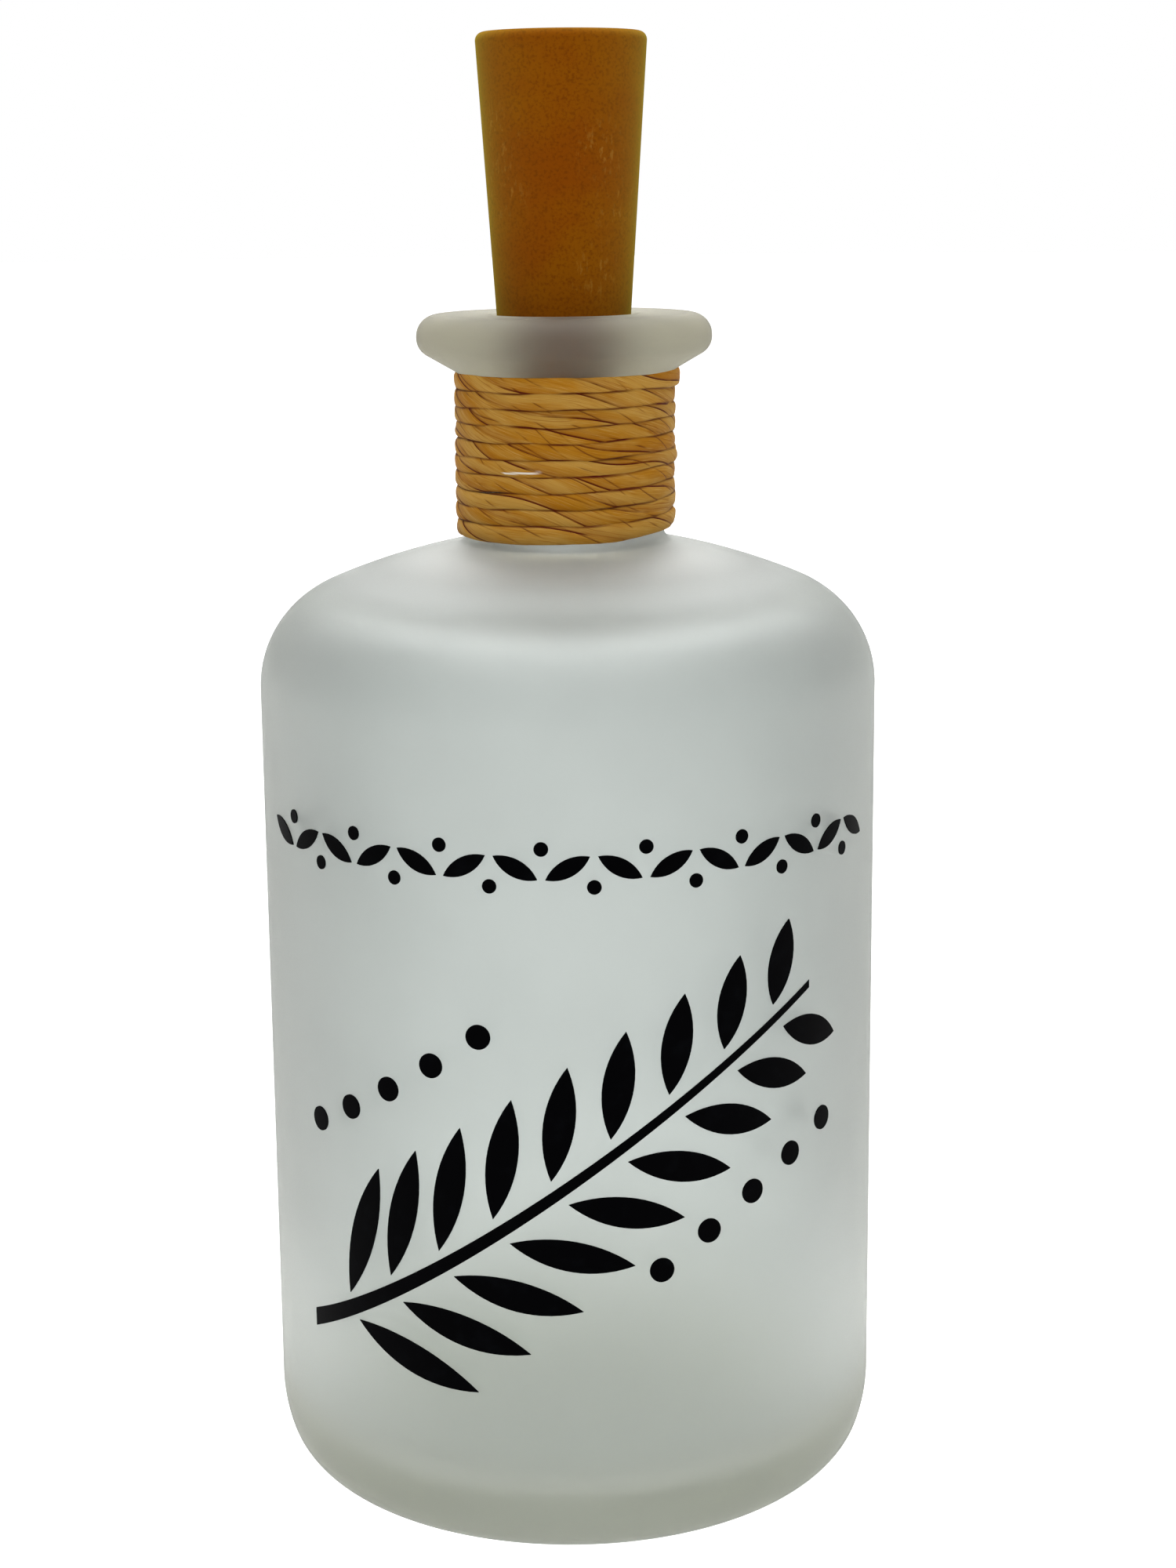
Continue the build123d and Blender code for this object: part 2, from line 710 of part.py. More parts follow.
# Switch pins
with BuildPart() as switch_terminals:
    with BuildSketch(Plane.XY.offset(pin_end_z)):
        with GridLocations(pin_pitch, 0, 3, 1):
            Rectangle(pin_width, pin_thickness)
    extrude(amount=pin_length)
write_piece(switch_terminals, "switch_terminals")

# Switch slider at its off end, a shoe under the cap and a ribbed knob in the recess
slider_x = -switch_travel / 2
shoe_top_z = ledge_z - slider_clearance
knob_top_z = cap_top_z + knob_rise
with BuildPart() as switch_slider:
    with BuildSketch(Plane.XY.offset(shoe_top_z - shoe_height)):
        with Locations((slider_x, 0)):
            Rectangle(shoe_length, shoe_width)
    extrude(amount=shoe_height)
    with BuildSketch(Plane.XY.offset(shoe_top_z)):
        with Locations((slider_x, 0)):
            SlotOverall(knob_length, knob_width)
    extrude(amount=knob_top_z - shoe_top_z)
    with BuildSketch(Plane.XY.offset(knob_top_z)):
        with Locations((slider_x, 0)):
            with GridLocations(knob_groove_pitch, 0, 2, 1):
                Rectangle(knob_groove_width, knob_width)
    extrude(amount=-knob_groove_depth, mode=Mode.SUBTRACT)
write_piece(switch_slider, "switch_slider")

# Board, with a hole for each lead
lead_radius = lead_diameter / 2
with BuildPart() as circuit_board:
    with BuildSketch(Plane.XY.offset(board_bottom_z)):
        Circle(board_radius)
        with GridLocations(lead_spacing, 0, 2, 1):
            Circle(lead_radius + lead_clearance, mode=Mode.SUBTRACT)
    extrude(amount=board_thickness)
write_piece(circuit_board, "circuit_board")

# Lamp, a domed body hanging under the board, with a flat on its flange
led_radius = led_diameter / 2
flange_radius = led_flange_diameter / 2
flange_z = board_bottom_z - led_flange_thickness
with BuildPart() as led:
    with BuildSketch(Plane.XZ):
        with BuildLine():
            TangentArc((0, led_tip_z), (led_radius, led_tip_z + led_radius), tangent=(1, 0))
            Polyline(
                (led_radius, led_tip_z + led_radius),
                (led_radius, flange_z),
                (flange_radius, flange_z),
                (flange_radius, board_bottom_z),
                (0, board_bottom_z),
                (0, led_tip_z),
            )
        make_face()
    revolve(axis=Axis.Z)
    with BuildSketch(Plane.XY.offset(flange_z)):
        with Locations((flange_radius - led_flange_flat, 0)):
            Rectangle(led_flange_flat, led_flange_diameter, align=(Align.MIN, Align.CENTER))
    extrude(amount=led_flange_thickness, mode=Mode.SUBTRACT)
write_piece(led, "led")

# Lamp leads, up through the board
with BuildPart() as led_leads:
    with BuildSketch(Plane.XY.offset(board_bottom_z)):
        with GridLocations(lead_spacing, 0, 2, 1):
            Circle(lead_radius)
    extrude(amount=board_thickness + lead_stub)
write_piece(led_leads, "led_leads")

# Resistor on the board
with BuildPart() as resistor:
    with BuildSketch(Plane.XY.offset(board_top_z)):
        with Locations((0, resistor_offset)):
            Rectangle(resistor_length, resistor_width)
    extrude(amount=resistor_height)
write_piece(resistor, "resistor")

print("mouth", round(mouth_z, 3), "neck foot", round(neck_foot_z, 3), "lip", round(lip_z, 3))
print("stopper", round(stopper_bottom_z, 3), "to", round(stopper_top_z, 3))
print("skirt height", round(bay_bottom_z - board_top_z, 3), "board radius", round(board_radius, 3))
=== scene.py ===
"""Looks of a cork bottle light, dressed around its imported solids.

A frosted glass bottle with a raffia-wound neck and black film on its front, closed by a tapered
stopper that holds a battery core. Metres, +Z up, origin in the middle of the base, front at -Y.
Lengths in the classes are millimetres and angles are degrees, unless a comment says otherwise.
A ramp is where a smooth step begins and ends, with its results there if they aren't 0 and 1.
"""

import logging
import math
from dataclasses import dataclass
from enum import Enum
from typing import Union

import bpy
import numpy as np
from mathutils import Matrix, Vector


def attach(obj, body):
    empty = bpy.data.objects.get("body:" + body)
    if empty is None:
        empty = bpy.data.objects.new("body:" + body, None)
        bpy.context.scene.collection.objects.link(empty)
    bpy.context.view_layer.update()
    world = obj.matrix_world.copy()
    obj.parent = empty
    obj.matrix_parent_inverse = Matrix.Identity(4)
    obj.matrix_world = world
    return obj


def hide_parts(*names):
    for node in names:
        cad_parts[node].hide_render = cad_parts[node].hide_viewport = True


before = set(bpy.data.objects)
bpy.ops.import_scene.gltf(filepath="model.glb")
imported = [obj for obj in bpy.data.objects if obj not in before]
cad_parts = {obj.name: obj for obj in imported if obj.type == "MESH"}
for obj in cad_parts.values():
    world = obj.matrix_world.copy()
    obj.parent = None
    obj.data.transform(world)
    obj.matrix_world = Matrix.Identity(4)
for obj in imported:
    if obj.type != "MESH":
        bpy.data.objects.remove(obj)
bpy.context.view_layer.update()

Array = np.ndarray
Colour = tuple[float, float, float]
Span = tuple[float, float]
Ramp = tuple[float, ...]
Noise = tuple[float, ...]
Settings = tuple[tuple[str, float], ...]
Piece = bpy.types.Object
Material = bpy.types.Material
Socket = bpy.types.NodeSocket
Value = Union[float, Colour, Socket]
Inputs = dict[Union[str, int], Value]

MM = 0.001
TAU = 2.0 * math.pi
WHITE: Colour = (1.0, 1.0, 1.0)
SHARP_ANGLE = 35.0
SEAMLESS = 180.0
WAVE_COUNT = 5
WAVE_SPREAD: Span = (0.5, 2.0)
WAVE_NORM = 2.2
PLEAT_ORDERS = 5
PLEAT_DECAY = 0.86
CLOUDS: Ramp = (0.35, 0.65)
GRAIN: Ramp = (0.25, 0.75)
FIBRES: Ramp = (0.3, 0.7)

log = logging.getLogger("bottle_light")


class Body(Enum):
    """Moving bodies that carry new pieces."""

    BOTTLE = "bottle"
    STOPPER = "stopper"
    CORE = "battery_core"


def tone(*levels: float) -> Colour:
    """Linear colour of a display colour: each share of 255, plus 0.055, over 1.055, to the 2.4.

    Args:
        levels: Red, green and blue, from 0 to 255.

    Returns:
        The linear colour that shows as that one.
    """
    shares = np.array(levels) / 255.0
    low = shares / 12.92
    high = ((shares + 0.055) / 1.055) ** 2.4
    return tuple(float(v) for v in np.where(shares <= 0.04045, low, high))


def smooth(values: Array, low: float, high: float) -> Array:
    """Smooth step from 0 at low to 1 at high: 3 t squared minus 2 t cubed of the share t."""
    share = np.clip((values - low) / (high - low), 0.0, 1.0)
    return share * share * (3.0 - 2.0 * share)


def pleat(phase: Array) -> Array:
    """Slow fall and quick rise once a unit of phase: fading sines of its whole multiples."""
    order = np.arange(1, PLEAT_ORDERS + 1)
    return (np.sin(TAU * phase[..., None] * order) * PLEAT_DECAY**order / order).sum(-1) / WAVE_NORM


def wheel(radius: Array, angle: Array, height: Array) -> Array:
    """Points at r cos(a), r sin(a) and z."""
    flat = radius * np.cos(angle), radius * np.sin(angle)
    return np.stack(np.broadcast_arrays(*flat, height), axis=-1)


@dataclass(frozen=True)
class Wander:
    """Uneven wave, mostly within its size: sines near one wavelength with drawn phases."""

    size: float
    wavelength: float
    seed: int

    def at(self, along: Array) -> Array:
        """Size times the sum of the sines over a norm.

        Args:
            along: Distances at which the wave is read.

        Returns:
            The wave at each distance.
        """
        draw = np.random.default_rng(self.seed)
        waves = self.wavelength * draw.uniform(*WAVE_SPREAD, WAVE_COUNT)
        phases = draw.uniform(0.0, TAU, WAVE_COUNT)
        return self.size * (np.sin(along[..., None] * (TAU / waves) + phases).sum(-1) / WAVE_NORM)


class Outline:
    """A line in the half plane of radius and height, drawn in straight runs and round turns."""

    def __init__(self, start: Span, heading: float = 0.0) -> None:
        """Begin at a point.

        Args:
            start: Radius and height of the point.
            heading: Direction of the line, counted from outward towards up.
        """
        self.point = np.array(start, float)
        self.heading = math.radians(heading)
        self.parts: list[Array] = []

    def run(self, end: Span, count: int) -> "Outline":
        """Draw a straight run: the start plus a share of the way to the end.

        Args:
            end: Radius and height of the end.
            count: Points on the run, without its end.

        Returns:
            The outline, for the next call.
        """
        way = np.array(end, float) - self.point
        shares = np.linspace(0.0, 1.0, count, endpoint=False)[:, None]
        self.parts.append(self.point + shares * way)
        self.heading = math.atan2(way[1], way[0])
        self.point = self.point + way
        return self

    def turn(self, radius: float, sweep: float, count: int) -> "Outline":
        """Draw an arc that leaves along the heading: its centre plus the radius, turned.

        Args:
            radius: Radius of the arc.
            sweep: Angle of the arc, positive to the left.
            count: Points on the arc, without its end.

        Returns:
            The outline, for the next call.
        """
        side = math.copysign(1.0, sweep)
        left = np.array([-math.sin(self.heading), math.cos(self.heading)])
        centre = self.point + side * radius * left
        first = self.heading - side * TAU / 4
        angles = first + np.linspace(0.0, math.radians(sweep), count + 1)
        points = centre + radius * np.stack([np.cos(angles), np.sin(angles)], axis=1)
        self.parts.append(points[:-1])
        self.point = points[-1]
        self.heading += math.radians(sweep)
        return self

    def bend(self, corner: Span, onward: Span, radius: float, count: int) -> "Outline":
        """Run towards a corner and round it: the arc begins radius times tan(turn / 2) before it.

        Args:
            corner: Radius and height of the sharp corner.
            onward: A point that the outline heads for after the corner.
            radius: Radius of the rounding.
            count: Points on the run, and on the arc.

        Returns:
            The outline, for the next call.
        """
        before = np.array(corner, float) - self.point
        after = np.array(onward, float) - np.array(corner, float)
        cross = before[0] * after[1] - before[1] * after[0]
        turning = math.atan2(cross, float(before @ after))
        cut = radius * abs(math.tan(turning / 2))
        start = np.array(corner, float) - before / np.linalg.norm(before) * cut
        return self.run(tuple(start), count).turn(radius, math.degrees(turning), count)

    def points(self) -> Array:
        """All points drawn so far and the end, one row each."""
        return np.concatenate([*self.parts, self.point[None]])


def band_faces(rows: int, columns: int, ring: bool) -> Array:
    """Four-sided faces of a grid that closes across its columns.

    Args:
        rows: Rows of the grid.
        columns: Columns of the grid.
        ring: Whether the last row joins the first.

    Returns:
        One row of four point numbers for each face, pointing outward.
    """
    numbers = np.arange(rows * columns).reshape(rows, columns)
    onward = np.roll(numbers, -1, axis=0)
    low, high = (numbers, onward) if ring else (numbers[:-1], onward[:-1])
    quads = [low, np.roll(low, -1, axis=1), np.roll(high, -1, axis=1), high]
    return np.stack(quads, axis=-1).reshape(-1, 4)


def fan_faces(pole: int, first: int, columns: int, start: bool) -> Array:
    """Triangles between one pole and the row of points beside it.

    Args:
        pole: Number of the pole.
        first: Number of the first point of the row.
        columns: Points in the row.
        start: Whether the pole comes before the row.

    Returns:
        One row of three point numbers for each face, pointing outward.
    """
    row = first + np.arange(columns)
    onward = np.roll(row, -1)
    poles = np.full(columns, pole)
    return np.stack([poles, onward, row] if start else [row, onward, poles], axis=-1)


def make_piece(name: str, points: Array, faces: list[Array], crease: float) -> Piece:
    """Put points and faces into a mesh, shaded smooth up to an angle.

    Args:
        name: Name of the piece.
        points: One row of x, y and z for each point, in millimetres.
        faces: Arrays of point numbers, one row for each face.
        crease: Angle past which an edge stays sharp.

    Returns:
        The piece, at the origin.
    """
    mesh = bpy.data.meshes.new(name)
    mesh.from_pydata((points * MM).tolist(), [], [f for part in faces for f in part.tolist()])
    mesh.validate()
    mesh.polygons.foreach_set("use_smooth", np.ones(len(mesh.polygons), bool))
    mesh.set_sharp_from_angle(angle=math.radians(crease))
    mesh.update()
    piece = bpy.data.objects.new(name, mesh)
    bpy.context.scene.collection.objects.link(piece)
    return piece


def skin(name: str, grid: Array, poles: Array, crease: float) -> Piece:
    """Closed surface over a grid whose columns go round.

    Args:
        name: Name of the piece.
        grid: Points in millimetres, by row and column.
        poles: Points beyond the first and last row. Without any, the last row joins the first.
        crease: Angle past which an edge stays sharp.

    Returns:
        The piece, at the origin.
    """
    rows, columns = grid.shape[:2]
    count = rows * columns
    faces = [band_faces(rows, columns, len(poles) == 0)]
    if len(poles):
        faces.append(fan_faces(count, 0, columns, True))
        faces.append(fan_faces(count + 1, count - columns, columns, False))
    return make_piece(name, np.concatenate([grid.reshape(-1, 3), poles]), faces, crease)


def revolve(
    name: str, outline: Array, columns: int, ring: bool = False, crease: float = SHARP_ANGLE
) -> Piece:
    """Turned piece: each outline point goes round the axis as r cos(a), r sin(a), z.

    Args:
        name: Name of the piece.
        outline: Radius and height of each point. It begins and ends on the axis, or closes.
        columns: Points around the axis.
        ring: Whether the outline closes away from the axis.
        crease: Angle past which an edge stays sharp.

    Returns:
        The piece, at the origin.
    """
    inner, ends = (outline, outline[:0]) if ring else (outline[1:-1], outline[[0, -1]])
    angles = np.linspace(0.0, TAU, columns, endpoint=False)
    grid = wheel(inner[:, :1], angles, inner[:, 1:])
    return skin(name, grid, wheel(np.zeros(len(ends)), 0.0, ends[:, 1]), crease)


def put_attribute(piece: Piece, name: str, values: Array) -> None:
    """Store one number for each point of a piece under a name."""
    layer = piece.data.attributes.new(name, "FLOAT", "POINT")
    layer.data.foreach_set("value", values.astype(np.float32).ravel())


def place(piece: Piece, body: Body, slot: str, *nodes: str) -> None:
    """Put a piece on its body, in place of the solids that it stands for.

    Args:
        piece: The finished piece.
        body: Body that it moves with.
        slot: The record's slot of its finish. It is not used.
        nodes: Solids that it stands for.
    """
    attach(piece, body.value)
    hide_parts(*nodes)
    log.info("%s rides on %s in place of %s", piece.name, body.value, ", ".join(nodes))


def dress(piece: Piece, material: Material) -> None:
    """Give a piece one material.

    Args:
        piece: The piece.
        material: Its finish.
    """
    piece.data.materials.clear()
    piece.data.materials.append(material)
    log.info("%s is dressed in %s", piece.name, material.name)


class Graph:
    """A node tree around one shader, with short calls to add and join nodes."""

    def __init__(self, name: str, world: bool = False) -> None:
        """Make a material or a world with its shader.

        Args:
            name: Name of the material or world.
            world: Whether a world is made.
        """
        self.block = (bpy.data.worlds if world else bpy.data.materials).new(name)
        self.block.use_nodes = True
        self.tree = self.block.node_tree
        self.shader = self.tree.nodes["Background" if world else "Principled BSDF"]

    def node(self, kind: str, inputs: Inputs, **settings: object) -> bpy.types.Node:
        """Add a node, set its options and fill or join its inputs.

        Args:
            kind: Node type, without its common first part.
            inputs: Input names or numbers, with a value or another node's socket.
            settings: Options of the node.

        Returns:
            The node.
        """
        made = self.tree.nodes.new("ShaderNode" + kind)
        for option, choice in settings.items():
            setattr(made, option, choice)
        for key, value in inputs.items():
            self.fill(made.inputs[key], value)
        return made

    def fill(self, socket: Socket, value: Value) -> None:
        """Join an input to a socket, or set it to a number or colour.

        Args:
            socket: The input.
            value: What it takes.
        """
        if isinstance(value, bpy.types.NodeSocket):
            self.tree.links.new(value, socket)
        elif socket.type == "RGBA" and isinstance(value, tuple):
            socket.default_value = (*value, 1.0)
        else:
            socket.default_value = value

    def surface(self, inputs: Inputs) -> None:
        """Set or join inputs of the shader by name."""
        for key, value in inputs.items():
            self.fill(self.shader.inputs[key], value)

    def stretched(self, vector: Socket, scale: Colour) -> Socket:
        """Vector stretched along its axes."""
        return self.node("Mapping", {"Vector": vector, "Scale": scale}).outputs["Vector"]

    def place(self, stretch: Colour = WHITE) -> Socket:
        """Position in the object's own metres, stretched along its axes."""
        return self.stretched(self.node("TexCoord", {}).outputs["Object"], stretch)

    def stored(self, name: str) -> Socket:
        """Number stored on the piece's points under a name."""
        return self.node("Attribute", {}, attribute_name=name).outputs["Fac"]

    def calc(self, operation: str, *values: Value) -> Socket:
        """Result of one of Blender's operations on numbers."""
        return self.node("Math", dict(enumerate(values)), operation=operation).outputs[0]

    def times(self, first: Value, second: Value) -> Socket:
        """Product of two numbers."""
        return self.calc("MULTIPLY", first, second)

    def plus(self, first: Value, second: Value) -> Socket:
        """Sum of two numbers."""
        return self.calc("ADD", first, second)

    def noise(self, at: Socket, scale: float, detail: float = 3.0, rough: float = 0.55) -> Socket:
        """Cloudy noise about one half, whose octaves each keep a rough share of the last."""
        inputs = {"Vector": at, "Scale": scale, "Detail": detail, "Roughness": rough}
        return self.node("TexNoise", inputs).outputs["Fac"]

    def span(self, value: Socket, ramp: Ramp) -> Socket:
        """Smooth step along a ramp.

        Args:
            value: Number that is read.
            ramp: Where the step begins and ends, and its results there if not 0 and 1.

        Returns:
            The step.
        """
        ends = zip(("From Min", "From Max", "To Min", "To Max"), (*ramp, 0.0, 1.0))
        inputs = {"Value": value, **dict(ends)}
        return self.node("MapRange", inputs, interpolation_type="SMOOTHSTEP").outputs["Result"]

    def zone(self, length: Socket, ramp: Ramp) -> Socket:
        """Smooth step along a ramp that begins and ends at lengths in millimetres."""
        return self.span(length, (ramp[0] * MM, ramp[1] * MM, *ramp[2:]))

    def clouds(self, at: Socket, scale: float, detail: float = 3.0) -> Socket:
        """Soft clouds from 0 to 1."""
        return self.span(self.noise(at, scale, detail), CLOUDS)

    def paint(self, base: Value, *layers: tuple[Value, Colour]) -> Socket:
        """Lay a share of each layer's colour over those below it.

        Args:
            base: Colour below all layers.
            layers: Share and colour of each layer.

        Returns:
            The colour on top.
        """
        for share, colour in layers:
            inputs = {0: share, 6: base, 7: colour}
            base = self.node("Mix", inputs, data_type="RGBA").outputs[2]
        return base

    def relief(self, height: Socket, strength: float, depth: float) -> None:
        """Fine relief on the surface from heights of 0 to 1, of a depth in millimetres."""
        bump = self.node("Bump", {"Height": height, "Strength": strength, "Distance": depth * MM})
        self.surface({"Normal": bump.outputs["Normal"]})


@dataclass(frozen=True)
class FrostedGlass:
    """Glass etched on the outside only: milky and rough there, clearer within, olive at the thick
    lip.

    Zones are ramps in height. Lighter tints low on the body and at the neck foot are painted light,
    and darker tints at the heel and on the dome are painted shade. The reliefs of all finishes are
    a strength and a depth.
    """

    tint: Colour = tone(214, 218, 217)
    cloud: Colour = tone(210, 214, 213)
    # Painted light: low is a lighter tint towards the bottom of the body.
    low: Colour = tone(227, 231, 230)
    # Painted shade: heel is a darker tint at the heel.
    heel: Colour = tone(200, 203, 196)
    # Painted shade: dome is a darker tint on the shoulder's dome.
    dome: Colour = tone(202, 205, 204)
    # Painted light: foot is a lighter band at the neck foot, under the winding.
    foot: Colour = tone(244, 246, 246)
    lip: Colour = tone(189, 186, 172)
    mouth: Colour = WHITE
    low_zone: Ramp = (20.0, 45.0, 1.0, 0.0)
    heel_zone: Ramp = (4.0, 18.0, 1.0, 0.0)
    dome_zone: Ramp = (121.0, 124.5)
    foot_zone: Ramp = (124.5, 127.0)
    collar_zone: Ramp = (128.5, 130.5, 1.0, 0.0)
    lip_zone: Ramp = (140.0, 152.0)
    mouth_zone: Ramp = (146.0, 149.0)
    dome_index: Ramp = (0.0, 1.0, 1.42, 1.9)
    transmission: float = 0.94
    outer_gloss: Ramp = (0.2, 0.8, 0.47, 0.57)
    neck_gloss: Ramp = (116.0, 129.0, 0.0, 0.2)
    inner_gloss: Ramp = (8.0, 30.0, 0.7, 0.25)
    absorbed: Colour = (0.3, 0.3, 0.4)
    density: float = 32.0
    clouds: float = 60.0
    grain: float = 5200.0
    relief: Span = (0.1, 0.03)

    def material(self) -> Material:
        """Tint by clouds and height, with a fine etched grain outside and a smoother face inside.

        The index is higher on the shoulder's dome, which evens out the light there. The tints by
        height paint light and shade: lighter low on the body and at the neck foot, darker at the
        heel and on the dome.

        Returns:
            The material.
        """
        graph = Graph("frosted_glass")
        spot = graph.place()
        height = graph.node("SeparateXYZ", {0: spot}).outputs["Z"]
        inside = graph.stored("inside")
        grain = graph.noise(spot, self.grain, detail=2.0)
        below = graph.zone(height, self.collar_zone)
        dome = graph.times(graph.zone(height, self.dome_zone), below)
        upper = graph.zone(height, self.neck_gloss)
        etched = graph.plus(graph.span(grain, self.outer_gloss), upper)
        within = graph.zone(height, self.inner_gloss)
        # The low and foot layers are painted light, and the heel and dome layers are painted shade.
        base = graph.paint(
            self.tint,
            (graph.clouds(spot, self.clouds, detail=2.0), self.cloud),
            (graph.zone(height, self.low_zone), self.low),
            (graph.zone(height, self.heel_zone), self.heel),
            (dome, self.dome),
            (graph.times(graph.zone(height, self.foot_zone), below), self.foot),
            (graph.zone(height, self.lip_zone), self.lip),
            (graph.times(inside, graph.zone(height, self.mouth_zone)), self.mouth),
        )
        graph.surface({
            "Base Color": base,
            "Roughness": graph.node("Mix", {0: inside, 2: etched, 3: within}).outputs[0],
            "IOR": graph.span(dome, self.dome_index),
            "Transmission Weight": self.transmission,
        })
        kept = tuple(1.0 - share for share in self.absorbed)
        depth = graph.node("VolumeAbsorption", {"Color": kept, "Density": self.density})
        graph.fill(graph.tree.nodes["Material Output"].inputs["Volume"], depth.outputs[0])
        graph.relief(grain, *self.relief)
        return graph.block


@dataclass(frozen=True)
class Raffia:
    """Twisted paper raffia: golden facets, painted shade on sharp folds and between turns, a loose
    pale thread.
    """

    straw: Colour = tone(201, 167, 102)
    gold: Colour = tone(174, 132, 58)
    amber: Colour = tone(161, 107, 18)
    # Painted shade: shade darkens facets towards their folds and in fine creases; also dark fibres.
    shade: Colour = tone(124, 64, 0)
    # Painted shade: fold colours the folds, crossing folds and crevices between turns.
    fold: Colour = tone(74, 14, 0)
    thread: Colour = tone(236, 234, 226)
    # Stretches are clouds to a metre along the strand, and to a facet across it.
    fibre_stretch: Colour = (240.0, 26.0, 1.0)
    patch_stretch: Colour = (90.0, 1.4, 1.0)
    fade_stretch: Colour = (120.0, 0.6, 1.0)
    facet_mood: float = 0.5
    patch_mood: Ramp = (0.35, 0.65, 0.0, 0.5)
    amber_mood: Ramp = (0.15, 0.85)
    edge_shade: Ramp = (0.45, 1.0, 0.0, 0.4)
    pale_fibres: Ramp = (0.28, 0.46, 0.45, 0.0)
    dark_fibres: Ramp = (0.5, 0.72, 0.0, 0.5)
    fold_line: Ramp = (0.9, 0.97)
    fold_fade: Ramp = (0.36, 0.56)
    cross_line: Ramp = (0.86, 0.98, 0.0, 0.75)
    cross_fade: Ramp = (0.45, 0.6)
    creases: float = 5.0
    crease_drift: float = 3.0
    crease_line: Ramp = (0.74, 0.97, 0.0, 0.6)
    crease_fade: Ramp = (0.0, 1.0, 1.0, 0.1)
    gloss: Ramp = (0.3, 0.7, 0.62, 0.8)
    specular: float = 0.06
    sheen: float = 0.16
    sheen_roughness: float = 0.4
    sheen_tint: Colour = tone(240, 215, 160)
    facet_fall: float = -0.6
    cross_fall: float = -0.25
    fibre_rise: float = 0.35
    relief: Span = (0.6, 0.14)

    def material(self) -> Material:
        """Tone by facet, fibres along it, and a line of painted shade at the low side of each fold.

        The stored phases grow by one from fold to fold, so their fraction runs across a facet and
        their whole part numbers it.

        Returns:
            The material.
        """
        graph = Graph("raffia_paper")
        along, lay, cross = graph.stored("along"), graph.stored("lay"), graph.stored("cross")
        across, second = graph.calc("FRACT", lay), graph.calc("FRACT", cross)
        facet = {"W": graph.calc("FLOOR", lay)}
        chance = graph.node("TexWhiteNoise", facet, noise_dimensions="1D").outputs["Value"]
        flat = graph.node("CombineXYZ", {0: along, 1: lay}).outputs[0]
        fibre = graph.noise(graph.stretched(flat, self.fibre_stretch), 1.0, detail=4.0, rough=0.65)
        patch = graph.noise(graph.stretched(flat, self.patch_stretch), 1.0)
        fade = graph.noise(graph.stretched(flat, self.fade_stretch), 1.0)
        fade = graph.span(fade, self.fold_fade)
        mood = graph.plus(graph.times(chance, self.facet_mood), graph.span(patch, self.patch_mood))
        # Painted shade lines at the folds, the crossing folds and the fine creases.
        line = graph.times(graph.span(across, self.fold_line), fade)
        faint = graph.times(graph.span(second, self.cross_line), graph.span(patch, self.cross_fade))
        fine = graph.plus(graph.times(lay, self.creases), graph.times(patch, self.crease_drift))
        fine = graph.span(graph.calc("FRACT", fine), self.crease_line)
        fine = graph.times(fine, graph.span(fade, self.crease_fade))
        paper = graph.paint(
            self.gold,
            (graph.span(mood, self.amber_mood), self.amber),
            # Painted shade towards the low side of each fold.
            (graph.span(across, self.edge_shade), self.shade),
            (graph.span(fibre, self.pale_fibres), self.straw),
            (graph.span(fibre, self.dark_fibres), self.shade),
            # Painted shade on the crossing folds, fine creases, folds and crevices.
            (faint, self.fold),
            (fine, self.shade),
            (line, self.fold),
            (graph.stored("painted_crevice_shade"), self.fold),
            (graph.stored("thread"), self.thread),
        )
        graph.surface({
            "Base Color": paper,
            "Roughness": graph.span(fibre, self.gloss),
            "Specular IOR Level": self.specular,
            "Sheen Weight": self.sheen,
            "Sheen Roughness": self.sheen_roughness,
            "Sheen Tint": self.sheen_tint,
        })
        ridge = graph.times(across, self.facet_fall)
        ridge = graph.plus(ridge, graph.times(second, self.cross_fall))
        graph.relief(graph.plus(ridge, graph.times(fibre, self.fibre_rise)), *self.relief)
        return graph.block


